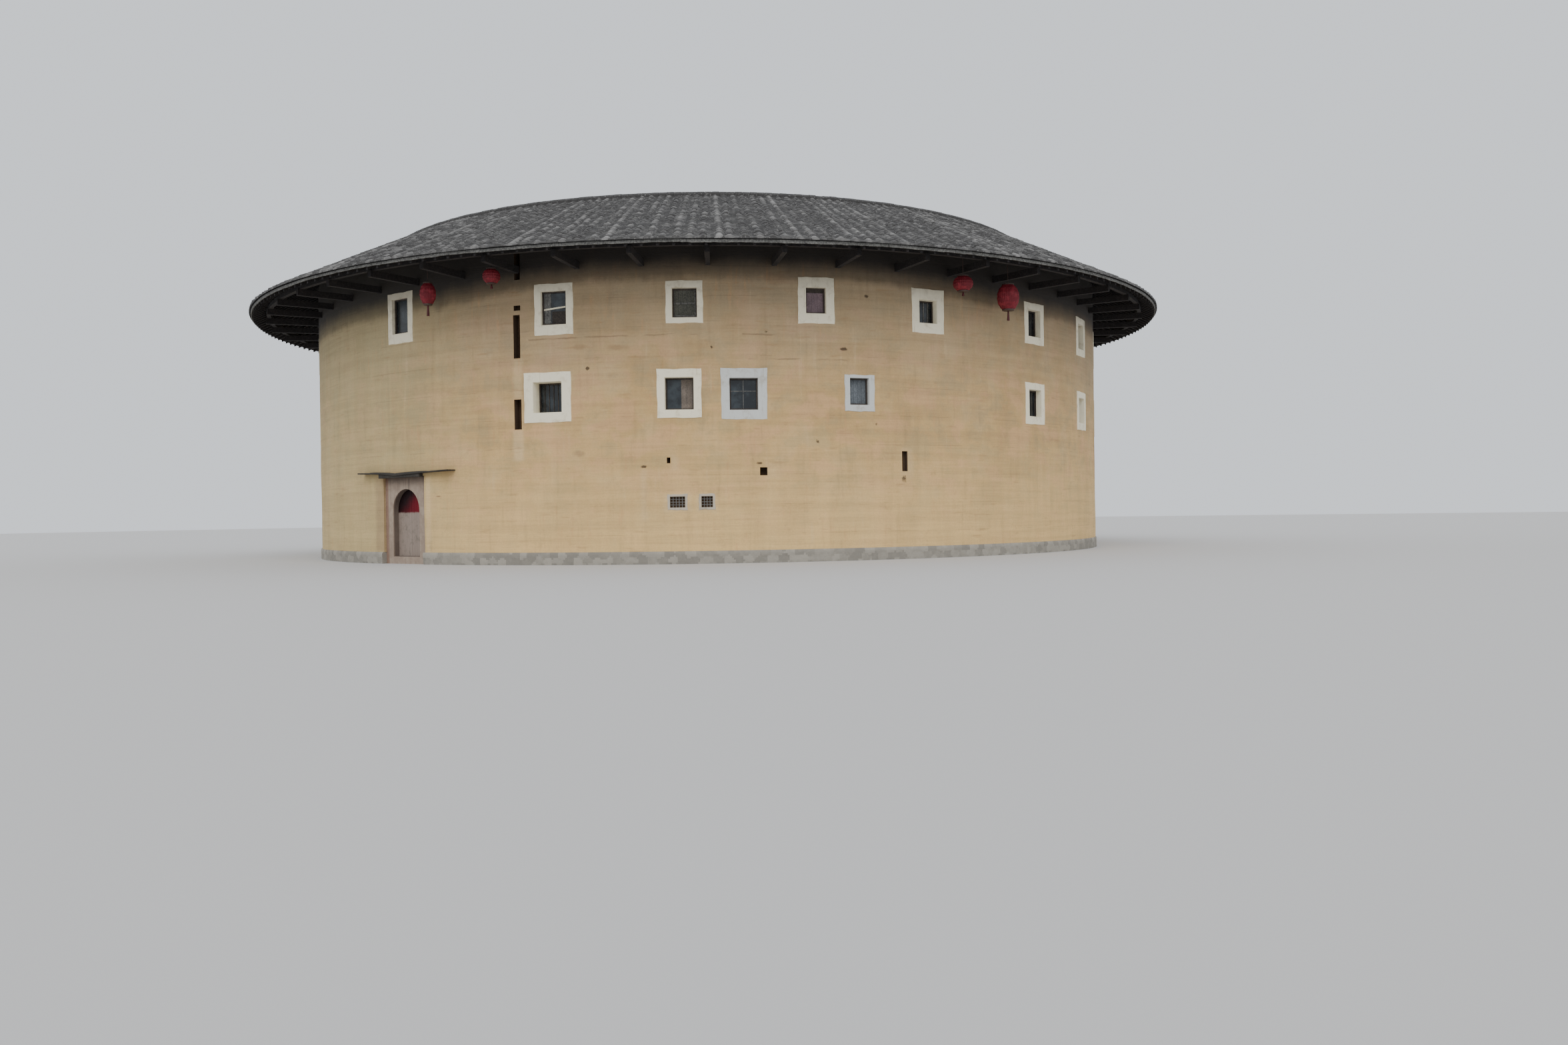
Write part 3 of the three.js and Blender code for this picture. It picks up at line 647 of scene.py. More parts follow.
def wallShape(fromAngle, toAngle, low, high, doorSide=0):
    # outer and inner skins on one grid of (height, angle), joined round the holes and along the borders;
    # the tone of a face is 1 inside a blind hole
    w, outer = wallSizes, ringSizes["wallOuter"]
    holes = [(np.radians(a), width, m - h / 2, m + h / 2, 0.0) for _, a, width, m, h, *_ in allWindows
             if isBetween(a, fromAngle, toAngle) and m > low]
    holes += [(np.radians(a), width, b, t, d) for a, width, b, t, d in wallPockets
              if isBetween(a, fromAngle, toAngle) and low < b < high]
    angleEdges = [a + side * width / 2 / outer for a, width, *_ in holes for side in (-1, 1)]
    heightEdges = [z for *_, b, t, _ in holes for z in (b, t)]
    turn = 2 * np.pi * (np.array(angleEdges) > np.radians(toAngle))
    ledges = [h + shift for h, _ in ringSizes["innerSteps"][1:] if low < h < high
              for shift in (-w["ledgeGap"], w["ledgeGap"])]
    angles = gridLines(*np.radians([fromAngle, toAngle, w["angleStep"]]), angleEdges - turn)
    heights = gridLines(low, high, w["heightStep"], heightEdges + ledges)
    state = np.full((len(heights) - 1, len(angles) - 1), w["solid"])
    depth = np.zeros(state.shape)
    midAngle, midHeight = (angles[1:] + angles[:-1]) / 2, (heights[1:] + heights[:-1]) / 2
    innerAngles = angles.copy()
    for a, width, b, t, d in holes:
        a = a - 2 * np.pi * (a > np.radians(toAngle))
        inWidth, inHeight = np.abs(midAngle - a) < width / 2 / outer, (midHeight > b) & (midHeight < t)
        cells = inWidth[None] & inHeight[:, None]
        state[cells] = w["pocket" if d else "through"]
        depth[cells] = d
        if not d:
            edge = np.abs(np.abs(angles - a) - width / 2 / outer) < w["sameLine"]
            innerAngles[edge] = a + (angles[edge] - a) * outer / innerRadius(np.array([b]))[0]
    rows, cols = len(heights), len(angles)
    angleGrid, heightGrid = np.meshgrid(angles, heights)
    bulge = w["unevenness"] * wave(w["seed"], w["waves"], angleGrid, heightGrid)
    if doorSide:
        # the earth is worn back towards the doorway
        away = np.abs(angleGrid) * outer - w["doorHalf"]
        bulge = bulge - w["splay"] * np.exp(-away / w["splayWidth"])
    skin = ringGrid(angleGrid, outer + bulge, heightGrid)
    back = ringGrid(innerAngles, innerRadius(heightGrid), heightGrid)
    # a blind hole's floor: each grid point takes the depth of the deepest cell beside it
    cellDepth = np.pad(depth, 1)
    pointDepth = np.maximum(cellDepth[1:], cellDepth[:-1])
    pointDepth = np.maximum(pointDepth[:, 1:], pointDepth[:, :-1])
    floor = ringGrid(angleGrid, outer + bulge - pointDepth, heightGrid)
    jamb = []
    if doorSide:
        # the edge at the doorway is an upright face with one step: x is fixed, y follows from the radius
        edge = 0 if doorSide > 0 else cols - 1
        for grid, half in ((skin, w["doorHalf"]), (back, w["passageHalf"])):
            radius = np.hypot(grid[:, edge, 0], grid[:, edge, 1])
            grid[:, edge, 0] = doorSide * half
            grid[:, edge, 1] = -np.sqrt(radius ** 2 - half ** 2)
        for half in (w["doorHalf"], w["passageHalf"]):
            line = np.full((rows, 3), [doorSide * half, -w["stepBack"], 0.0])
            line[:, 2] = heights
            jamb.append(line)
    size = rows * cols
    number = np.arange(size).reshape(rows, cols)
    points = np.concatenate([g.reshape(-1, 3) for g in (skin, back, floor, *jamb)])
    solid, through, pocket = (state == w[k] for k in ("solid", "through", "pocket"))
    front, rear, sunk = number, number + size, number + 2 * size

    def cell(base):
        return np.stack([base[:-1, :-1], base[:-1, 1:], base[1:, 1:], base[1:, :-1]], -1)

    def sides(full, empty, near, far):
        # walls between a full cell and an empty one beside it, from the near grid to the far grid
        flank = np.stack([near[:-1], far[:-1], far[1:], near[1:]], -1)
        level = np.stack([near[:, :-1], near[:, 1:], far[:, 1:], far[:, :-1]], -1)
        return [flank[full[1:-1, :-1] & empty[1:-1, 1:]],
                flank[empty[1:-1, :-1] & full[1:-1, 1:]][:, ::-1],
                level[full[:-1, 1:-1] & empty[1:, 1:-1]],
                level[empty[:-1, 1:-1] & full[1:, 1:-1]][:, ::-1]]

    body = np.pad(~through, 1)
    outside = np.pad(through, 1, constant_values=True)
    if doorSide:
        # the border at the doorway is the stepped face instead
        outside[:, 0 if doorSide > 0 else -1] = False
    quads = [cell(front)[solid], cell(rear)[~through][:, ::-1], *sides(body, outside, front, rear)]
    if doorSide:
        jambLines = (3 * size + start + np.arange(rows) for start in (0, rows))
        step = cell(np.stack([front[:, edge], *jambLines, rear[:, edge]], 1)).reshape(-1, 4)
        quads.append(step if doorSide < 0 else step[:, ::-1])
    dark = [cell(sunk)[pocket], *sides(np.pad(solid, 1), np.pad(pocket, 1), front, sunk)]
    quads, dark = np.concatenate(quads), np.concatenate(dark)
    tone = np.concatenate([np.zeros(len(quads)), np.ones(len(dark))])
    return (points, np.concatenate([quads, dark])), tone


def buildWall():
    w, top, foot = wallSizes, ringSizes["wallTop"], ringSizes["plinthTop"]
    joint, side = w["firstJoint"], math.degrees(math.asin(w["doorHalf"] / ringSizes["wallOuter"]))
    parts = [("over_door", "wall_over_door", joint - w["segment"], joint, w["doorTop"], top, 0),
             ("left_of_door", "wall_left_of_door", joint - w["segment"], -side, foot, w["doorTop"], -1),
             ("right_of_door", "wall_right_of_door", side, joint, foot, w["doorTop"], 1)]
    for k in range(w["segments"]):
        start = joint + w["segment"] * k
        parts.append((k + 1, f"wall_segment_{k + 1}", start, start + w["segment"], foot, top, 0))
    for name, node, *extent in parts:
        shape, tone = wallShape(*extent)
        piece = makePiece(f"earth_wall_{name}", shape, finishes["earth"], smooth=35, tone=tone)
        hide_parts(node)


buildWall()
print("earth wall ready")


# Plaster surrounds of the windows

plasterSizes = {"thickness": 0.018, "samples": 72, "round": 0.03, "play": 0.004, "reveal": 0.42, "seed": 100,
                "wobble": 0.006, "ripples": [(5.1, 1.0), (11.3, 1.0), (23, 0.5)]}


def surroundShape(angle, width, middle, height, border, seed, reveal):
    # a band swept round the opening: its section runs from deep in the reveal over the wall to its edge
    s, t, outer = plasterSizes, plasterSizes["thickness"], ringSizes["wallOuter"]
    left, right, bottom, top = border[:4]
    lap = np.arange(s["samples"]) / s["samples"] * 4
    side, along = np.floor(lap).astype(int), lap % 1
    corner = np.array([(-1, -1), (1, -1), (1, 1), (-1, 1)], float)
    unit = corner[side] + (corner[(side + 1) % 4] - corner[side]) * along[:, None]
    inner = unit * (width / 2 - s["play"], height / 2 - s["play"])
    phase = np.random.default_rng(seed).uniform(0, 6, len(s["ripples"]))
    ripple = sum(np.sin(lap * turns + start) * share for (turns, share), start in zip(s["ripples"], phase))
    edge = unit * (width / 2, height / 2) + unit * np.where(unit > 0, (right, top), (left, bottom))
    edge = edge + unit * (s["wobble"] * ripple)[:, None]
    # share of the way to the edge, and height over the wall
    section = [(0.0, -reveal), (0.0, 0.0), (s["round"], t), (0.5, t * 1.15), (0.97, t * 0.9), (1.0, -0.02),
               (0.5, -0.02), (0.06, -0.03), (0.06, -reveal)]
    rows = []
    for share, lift in section:
        lateral, up = (inner + (edge - inner) * share).T
        radius = np.sqrt(outer ** 2 - lateral ** 2) + lift
        rows.append(placed(np.radians(angle), lateral, radius, middle + up))
    return np.array(rows).reshape(-1, 3), gridQuads(len(section), s["samples"], True, True)[:, ::-1]


def buildSurrounds():
    s = plasterSizes
    groups = {}
    for number, (storey, angle, width, middle, height, *_, border) in enumerate(allWindows):
        shape = surroundShape(angle, width, middle, height, border, s["seed"] + number, s["reveal"])
        groups.setdefault((storey, border[4]), []).append(shape)
    for (storey, state), shapes in groups.items():
        finish = finishes["whitewash" if state == "clean" else "greyLime"]
        makePiece(f"window_surrounds_{storey}_{state}", merge(shapes), finish, smooth=40)


buildSurrounds()


# Window timber, bars and panes, set back in each opening

frameSizes = {"depth": 0.07, "member": 0.045, "play": 0.006}


def upright(finish, low, high, count, gap):
    # boards or bars side by side between two shares of the width
    edges = [low + (high - low) * k / count for k in range(count + 1)]
    return [(finish, a + gap, b - gap, 0, 1, 0.045, 0.02, 0) for a, b in zip(edges[:-1], edges[1:])]


# what fills the frame: finish, left, right, bottom and top as shares, metres behind the front, thickness
# and rise to the right
pane = ("glass", 0, 1, 0, 1, 0.058, 0.008, 0)
windowKinds = {
    "glass": [],
    "darkBars": upright("darkTimber", 0.06, 0.94, 5, 0.073),
    "paleBars": upright("greyTimber", 0.08, 0.92, 3, 0.105),
    "mullions": [("greyTimber", 0.48, 0.505, 0, 1, 0.045, 0.02, 0),
                 ("greyTimber", 0, 1, 0.60, 0.622, 0.047, 0.02, 0)],
    "whiteRail": [*upright("greyTimber", 0, 0.32, 2, 0.004),
                  ("darkTimber", 0.36, 1, 0, 0.40, 0.048, 0.015, 0),
                  ("whitewash", 0, 1, 0.44, 0.49, 0.03, 0.035, 0.07)],
    "greenBoards": [*upright("greenTimber", 0, 1, 5, 0.005),
                    ("greyTimber", 0, 1, 0.47, 0.535, 0.022, 0.02, 0),
                    ("greyTimber", 0.95, 1, 0, 1, 0.020, 0.02, 0),
                    ("greyTimber", 0, 1, 0, 0.06, 0.018, 0.02, 0)],
    # the dark board across the top of the plum boards is painted shade at the top of the opening
    "plumBoards": [*upright("plumTimber", 0, 1, 3, 0.003), ("darkTimber", 0, 1, 0.86, 1, 0.030, 0.02, 0)],
    "blueBoards": upright("blueTimber", 0, 1, 4, 0.005),
    "halfBoard": upright("taupeTimber", 0.55, 1, 2, 0.004),
}
timberNames = {"brownTimber": "frames", "darkTimber": "dark_bars", "greyTimber": "grey_boards",
               "glass": "panes", "whitewash": "white_rails", "taupeTimber": "taupe_boards",
               "plumTimber": "plum_boards", "blueTimber": "blue_boards", "greenTimber": "green_boards"}


def windowParts(width, middle, height, kind, setBack):
    # boxes in the window's own plane: finish, lateral range, radius range, height range, rise to the right
    s = frameSizes
    front = ringSizes["wallOuter"] - setBack
    w, h, m = width / 2 - s["play"], height / 2 - s["play"], s["member"]
    low, high = middle - h, middle + h
    members = [((-w, -w + m), (low, high)), ((w - m, w), (low, high)),
               ((-w + m, w - m), (low, low + m)), ((-w + m, w - m), (high - m, high))]
    deep = (front - s["depth"], front)
    parts = [("brownTimber", lateral, deep, heights, 0) for lateral, heights in members]
    clearW, clearH = 2 * (w - m), 2 * (h - m)
    for finish, left, right, bottom, top, behind, thick, rise in [pane, *windowKinds[kind]]:
        parts.append((finish, (m - w + left * clearW, m - w + right * clearW),
                      (front - behind - thick, front - behind),
                      (low + m + bottom * clearH, low + m + top * clearH), rise))
    return parts


def buildWindows():
    groups = {}
    for storey, angle, width, middle, height, kind, setBack, _ in allWindows:
        for finish, lateral, radius, heights, rise in windowParts(width, middle, height, kind, setBack):
            points, quads = ringBoxes(np.radians(angle), lateral, radius, heights)
            points[1::2, 2] += rise
            groups.setdefault((storey, finish), []).append((points, quads))
    for (storey, finish), shapes in groups.items():
        makePiece(f"window_{timberNames[finish]}_{storey}", merge(shapes), finishes[finish])


buildWindows()
print("windows ready")


# Roof tiles: columns of pan and cover tiles that run down the slope, in overlapping courses

tileSizes = {
    "outer": {"columns": 288, "courses": 32, "overhang": 0.10, "side": 1, "seed": 11},
    "inner": {"columns": 216, "courses": 26, "overhang": 0.08, "side": -1, "seed": 12},
    "share": [0.0, 0.14, 0.24, 0.34, 0.43, 0.57, 0.66, 0.76, 0.86],
    "crown": [0.0, 0.003, 0.012, 0.031, 0.042, 0.042, 0.031, 0.012, 0.003],
    "loose": [0.0, 0.2, 0.6, 1.0, 1.0, 1.0, 1.0, 0.6, 0.2],
    "bed": 0.012, "lap": 0.010, "shift": 0.008, "slip": 0.024, "wander": 0.11, "turn": 0.012,
    "underRows": 7, "under": -0.012, "columnTones": (0.7, 2.6), "crownFrom": 0.3,
    "panTone": 0.12, "crownTone": 0.07, "columnTone": 0.38, "tileTone": 0.44, "eaveTone": 0.12,
}


def tileSheet(side, section):
    # height over the boards = bed + section of a column + rise along a course + each tile's own shift and
    # turn; a column's section grows with the distance from the centre
    s, own = tileSizes, tileSizes[side]
    columns, courses = own["columns"], own["courses"]
    perSection = columns // ringSizes["roofSections"]
    first = section * perSection - perSection // 2
    share, crown, loose = (np.array(s[k]) for k in ("share", "crown", "loose"))
    count = perSection * len(share) + 1
    column = np.repeat(np.arange(first, first + perSection + 1), len(share))[:count]
    share, profile, weight = (np.tile(v, perSection + 1)[:count] for v in (share, crown, loose))
    rng = np.random.default_rng(own["seed"])
    table = (columns, courses)
    lift, slip = rng.normal(0, s["shift"], table), rng.normal(0, s["slip"], table)
    tone, panTone = rng.uniform(0, 1, table), rng.uniform(0, 1, table)
    lean = rng.normal(0, s["turn"], table)
    columnTone = rng.beta(*s["columnTones"], columns)[:, None]
    # a column drifts a little sideways on its way down
    drift = np.cumsum(rng.normal(0, 1, table), 1) / courses ** 0.5 * s["wander"] * (2 * np.pi / columns)
    pick = column % columns
    edgeFree = (weight > 0) * 1.0
    eave, start = ringSizes[side + "Eave"] + own["side"] * own["overhang"], ringSizes["ridgeRadius"]
    straight = (column + share) / columns * 2 * np.pi
    rows = []
    for course in range(courses):
        for end in (0, 1):
            run = (course + end) / courses
            k = course if end else max(course - 1, 0)
            free = 0 if course + end in (0, courses) else 1
            radius = start + (eave - start) * run + own["side"] * slip[pick, k] * weight * free
            turned = (share - 0.5) * lean[pick, course] * weight
            raised = profile * radius / start + lift[pick, course] * weight + turned
            z = slopeHeight(radius, side) + s["bed"] + raised + end * s["lap"]
            rows.append(ringGrid(straight + drift[pick, course] * edgeFree, radius, z))
    for step in range(s["underRows"]):
        radius = eave + (start - eave) * step / (s["underRows"] - 1)
        rows.append(ringGrid(straight, radius, slopeHeight(radius, side) + s["under"]))
    quads = gridQuads(len(rows), count, True)[:, ::-own["side"]]
    faceCourse = np.minimum(np.arange(len(rows)) // 2, courses - 1)
    high = ((profile[:-1] + profile[1:]) / 2 / crown.max())[None]
    tileOwn = np.where(high > s["crownFrom"], *(v[pick[:-1]].T[faceCourse] for v in (tone, panTone)))
    # the crowns are painted lighter than the pans by crownTone, a painted highlight on the ribs; columnTone
    # adds a random tone to each column's crowns
    faceTone = (s["panTone"] + s["crownTone"] * high + s["columnTone"] * columnTone[pick[:-1]].T * high
                + s["tileTone"] * (tileOwn ** 2 - 0.25) * (0.6 + 0.4 * high))
    faceTone[2 * courses - 2:2 * courses] += s["eaveTone"]
    return (np.array(rows), quads), faceTone.ravel()


def buildRoof():
    for side, _ in ringSizes["roofSides"]:
        for section in range(ringSizes["roofSections"]):
            shape, tone = tileSheet(side, section)
            name = f"roof_tiles_{side}_{section + 1}"
            piece = makePiece(name, shape, finishes["tile"], tone=tone)
            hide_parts(f"roof_{side}_{section + 1}")


boardSizes = {"samples": 432, "width": 0.19, "step": 0.006, "tilt": 0.004, "top": -0.02, "clear": 0.01,
              "seed": 41}


def buildBoards(side, sign):
    # the layer below the tiles: boards round the ring, one beside the other, each with its own small drop
    s, eave, ridge = boardSizes, ringSizes[side + "Eave"], ringSizes["ridgeRadius"]
    rng = np.random.default_rng(s["seed"] + sign)
    count = int(abs(eave - ridge) / s["width"])
    start = ridge + sign * s["clear"]
    edges = start + (eave - start) * np.arange(count + 1) / count
    profile = []
    for near, far in zip(edges[:-1], edges[1:]):
        drop = rng.uniform(0, s["step"]) - ringSizes["deckThickness"]
        profile += [(near, drop), (far, drop + rng.uniform(0, s["tilt"]))]
    profile += [(edges[-1], s["top"]), (edges[0], s["top"])]
    radius, drop = np.array(profile).T[..., None]
    grid = ringGrid(ringAngles(s["samples"]), radius, slopeHeight(radius, side) + drop)
    quads = gridQuads(len(profile), s["samples"], True, True)[:, ::sign]
    makePiece(f"roof_boards_{side}", (grid, quads), finishes["soffitTimber"])


# half a section of the ridge: distance from its line and height, from the foot to the crown
ridgeSizes = {"section": [(0.17, -0.16), (0.17, 0.02), (0.136, 0.05), (0.07, 0.102)], "crown": 0.122,
              "tiles": 340, "jitter": 0.004, "joint": 0.06, "shrink": 0.06, "dip": 0.008, "tone": 0.16,
              "seed": 21}


def buildRidge():
    # a ring of upright tiles: the closed section is swept round, and each tile has its own small shift
    s = ridgeSizes
    section = np.array([(-x, z) for x, z in s["section"]] + [(0, s["crown"])] + s["section"][::-1])
    above = section[:, 1:] > 0
    shift = np.random.default_rng(s["seed"]).normal(0, s["jitter"], (s["tiles"], 1, 2))
    rows = []
    for place, sunk in ((0.0, 1), (s["joint"], 0), (1 - s["joint"], 0)):
        theta = ringAngles(s["tiles"], place)[:, None]
        offset = section * (1 - s["shrink"] * sunk) + shift * above * (1 - sunk)
        z = ringSizes["ridgeHeight"] + offset[..., 1] - s["dip"] * sunk * above[:, 0]
        rows.append(ringGrid(theta, ringSizes["ridgeRadius"] + offset[..., 0], z))
    grid = np.stack(rows, 1).reshape(-1, len(section), 3)
    quads = gridQuads(*grid.shape[:2], True, True)[:, ::-1]
    piece = makePiece("ridge_tiles", (grid, quads), finishes["tile"],
                      tone=np.full(len(quads), s["tone"]))
    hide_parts("roof_ridge")


# sag and ragged wear: seed, count of waves, size, and waves round the ring
fasciaSizes = {"samples": 1440, "boards": 29, "thick": 0.030, "low": 9.472, "high": 9.562, "ease": 0.004,
               "proud": 0.002, "step": 0.007, "sag": (33, 6, 0.011, (8, 60)),
               "ragged": (34, 8, 0.006, (120, 500)), "seeds": {"outer": 31, "inner": 32}}


def buildFascia(side, sign, node):
    # a closed bar round the ring: both edges wander with the boards' own heights, waves and ragged wear
    s = fasciaSizes
    rng = np.random.default_rng(s["seeds"][side])
    theta = ringAngles(s["samples"])
    ends = np.sort(rng.uniform(0, 2 * np.pi, s["boards"]))
    board = np.searchsorted(ends, theta) % s["boards"]
    own = rng.normal(0, s["step"], (s["boards"], 2))[board]
    bend, wear = (wave(seed, count, theta, 0, turns) * size
                  for seed, count, size, turns in (s["sag"], s["ragged"]))
    low, high = s["low"] + own[:, 0] + bend + wear, s["high"] + own[:, 1] * 0.4 + bend
    face = ringSizes[side + "Eave"] + sign * (s["proud"] + np.abs(own[:, 1]) * 0.5)
    face, low, high = (v[:, None] for v in (face, low, high))
    grid = ringGrid(theta[:, None], *barSection(face, face + sign * s["thick"], low, high, s["ease"], sign))
    quads = gridQuads(*grid.shape[:2], True, True)[:, ::-sign]
    piece = makePiece(f"fascia_boards_{side}", (grid, quads), finishes["greyTimber"])
    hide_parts(node)


# for each side the count of rafters and the radii of their two ends
rafterSizes = {"outer": (250, 16.56, 18.90), "inner": (180, 9.34, 10.25), "width": 0.075, "height": 0.09,
               "inset": 0.004, "samples": 4}


def buildRafters(side):
    # sloping bars under the boards: the four corners of each cross-section follow the slope
    s = rafterSizes
    count, near, far = s[side]
    theta = ringAngles(count, 0.5)[:, None, None]
    radius = np.linspace(near, far, s["samples"])[:, None]
    across, down = np.array([(-1, 0), (1, 0), (1, -1), (-1, -1)], float).T
    z = slopeHeight(radius, side) - ringSizes["deckThickness"] - s["inset"] + down * s["height"]
    grid = placed(theta, across * s["width"] / 2, radius, z).reshape(count, -1, 3)
    last = 4 * (s["samples"] - 1)
    quads = np.concatenate([gridQuads(s["samples"], 4, False, True), [(3, 2, 1, 0), np.arange(4) + last]])
    quads = quads[None] + grid.shape[1] * np.arange(count)[:, None, None]
    makePiece(f"rafters_{side}", (grid, quads), finishes["soffitTimber"])


buildRoof()
for side, sign in ringSizes["roofSides"]:
    buildBoards(side, sign)
buildRidge()
for side, sign in ringSizes["roofSides"]:
    buildFascia(side, sign, f"fascia_{side}")
for side, _ in ringSizes["roofSides"]:
    buildRafters(side)
print("roof ready")


# Plinth of field stones below the wall

plinthSizes = {"face": 16.522, "inner": 15.302, "top": 0.40, "columns": 1740, "rows": 8, "stoneLength": 0.34,
               "courses": 2, "relief": 0.034, "joint": 0.045, "jitter": 0.30, "fieldSeed": 51, "toneSeed": 52,
               "stretch": 1.2, "topEase": 0.012, "step": 16.11, "stepHalf": 0.0005, "doorHalf": 1.131,
               "passageHalf": 0.901,
               "slabs": 3, "slabTop": 0.15, "slabGap": 0.006, "slabPlay": 0.003, "slabBack": 0.004,
               "plainTone": 0.4}


def stoneField(u, v, seed):
    # a point belongs to the nearest of a jittered grid of middles; returns how much farther the next one is,
    # and the number of the nearest
    s = plinthSizes
    count = int(2 * np.pi * s["face"] / s["stoneLength"])
    rng = np.random.default_rng(seed)
    jitter = rng.uniform(-s["jitter"], s["jitter"], (count, s["courses"] + 2, 2))
    u, v = u * count, v * s["courses"] + 1
    nearest, second = np.full(u.shape, 9.0), np.full(u.shape, 9.0)
    number = np.zeros(u.shape, int)
    for du in (-2, -1, 0, 1, 2):
        for dv in (-1, 0, 1):
            row = np.clip(np.floor(v).astype(int) + dv, 0, s["courses"] + 1)
            column = np.floor(u - 0.5 * (row % 2)).astype(int) + du
            offset = jitter[column % count, row]
            away = np.hypot((u - (column + 0.5 + 0.5 * (row % 2) + offset[..., 0])) * s["stoneLength"],
                            (v - (row + 0.5 + offset[..., 1] * 0.5)) * s["top"] / s["courses"] * s["stretch"])
            closer = away < nearest
            second = np.where(closer, nearest, np.minimum(second, away))
            number = np.where(closer, (column % count) * 7 + row, number)
            nearest = np.where(closer, away, nearest)
    return second - nearest, number


def buildPlinth():
    # the section runs up the stone face, back over the top and down inside; r = face + relief of the stone
    s = plinthSizes
    n, step, gap, inner, top = s["rows"], s["step"], s["stepHalf"], s["inner"], s["top"]
    side = math.asin(s["doorHalf"] / s["face"])
    theta = np.linspace(side, 2 * np.pi - side, s["columns"])
    z = np.linspace(0, top, n)
    room, number = stoneField(*np.meshgrid(theta / (2 * np.pi), z / top, indexing="ij"), s["fieldSeed"])
    share = np.clip(room / s["joint"], 0, 1)
    tone = np.random.default_rng(s["toneSeed"]).uniform(0, 1, number.max() + 1)[number]
    radius = s["face"] + s["relief"] * (share * (2 - share) * (0.6 + 0.4 * tone))
    radius[:, -1] -= s["topEase"]
    backRadius, backHeight = np.array([(step + gap, top), (step - gap, top), (inner, top), (inner, 0),
                                       (step - gap, 0), (step + gap, 0)]).T
    radius = np.concatenate([radius, np.broadcast_to(backRadius, (len(theta), len(backRadius)))], 1)
    count = radius.shape[1]
    grid = ringGrid(theta[:, None], radius, np.concatenate([z, backHeight]))
    # the two ends stand upright at the doorway, with one step
    half = np.full(count, s["doorHalf"])
    half[n + 1:n + 5] = s["passageHalf"]
    for end, sign in ((0, 1), (-1, -1)):
        grid[end, :, 0] = sign * half
        grid[end, :, 1] = -np.sqrt(radius[end] ** 2 - half ** 2)
        grid[end, n:n + 2, 1] = grid[end, n + 4:, 1] = -step
    face = np.array([n + 5, *range(n + 1)])
    ends = np.concatenate([face[capQuads(len(face))],
                           [(n + 5, n, n + 1, n + 4), (n + 4, n + 1, n + 2, n + 3)]])
    last = len(theta) - 1
    quads = np.concatenate([gridQuads(last + 1, count, False, True), ends[:, ::-1], ends + last * count])
    shapes = [outward(grid.reshape(-1, 3), quads)]
    edges = np.linspace(-s["passageHalf"] + s["slabPlay"], s["passageHalf"] - s["slabPlay"], s["slabs"] + 1)
    slab, slabQuads = ringBoxes(0, (0, 1), (inner, step - s["slabBack"]), (0, s["slabTop"]))
    for low, high in zip(edges[:-1], edges[1:]):
        points = slab.copy()
        points[:, 0] = low + s["slabGap"] / 2 + points[:, 0] * (high - low - s["slabGap"])
        shapes.append((points, slabQuads))
    shape = merge(shapes)
    faceTone = np.full(len(shape[1]), s["plainTone"])
    faceTone[:last * count].reshape(last, count)[:, :n] = tone[:-1]
    piece = makePiece("plinth_stones", shape, finishes["stone"], smooth=60, tone=faceTone)
    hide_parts("stone_plinth")


buildPlinth()


# Doorway: planked leaves with ledges behind, and the canopy

leafSizes = {"axisX": 0.745, "axisY": 16.075, "half": 0.030, "middle": 0.004, "low": 0.258, "high": 2.604,
             "boards": 5, "groove": 0.007, "grooveHalf": 0.005, "rows": 26, "wear": 0.0025, "heel": 8,
             "seed": 61, "pin": 0.0199, "pinReach": 0.046, "pinFoot": 0.001, "pinSides": 24, "plainTone": 0.5,
             "ledges": (0.48, 1.38, 2.30), "ledgeHalf": 0.06, "ledgeDepth": 0.028, "ledgeFoot": 0.002,
             "ledgeSpan": (0.12, 0.70)}


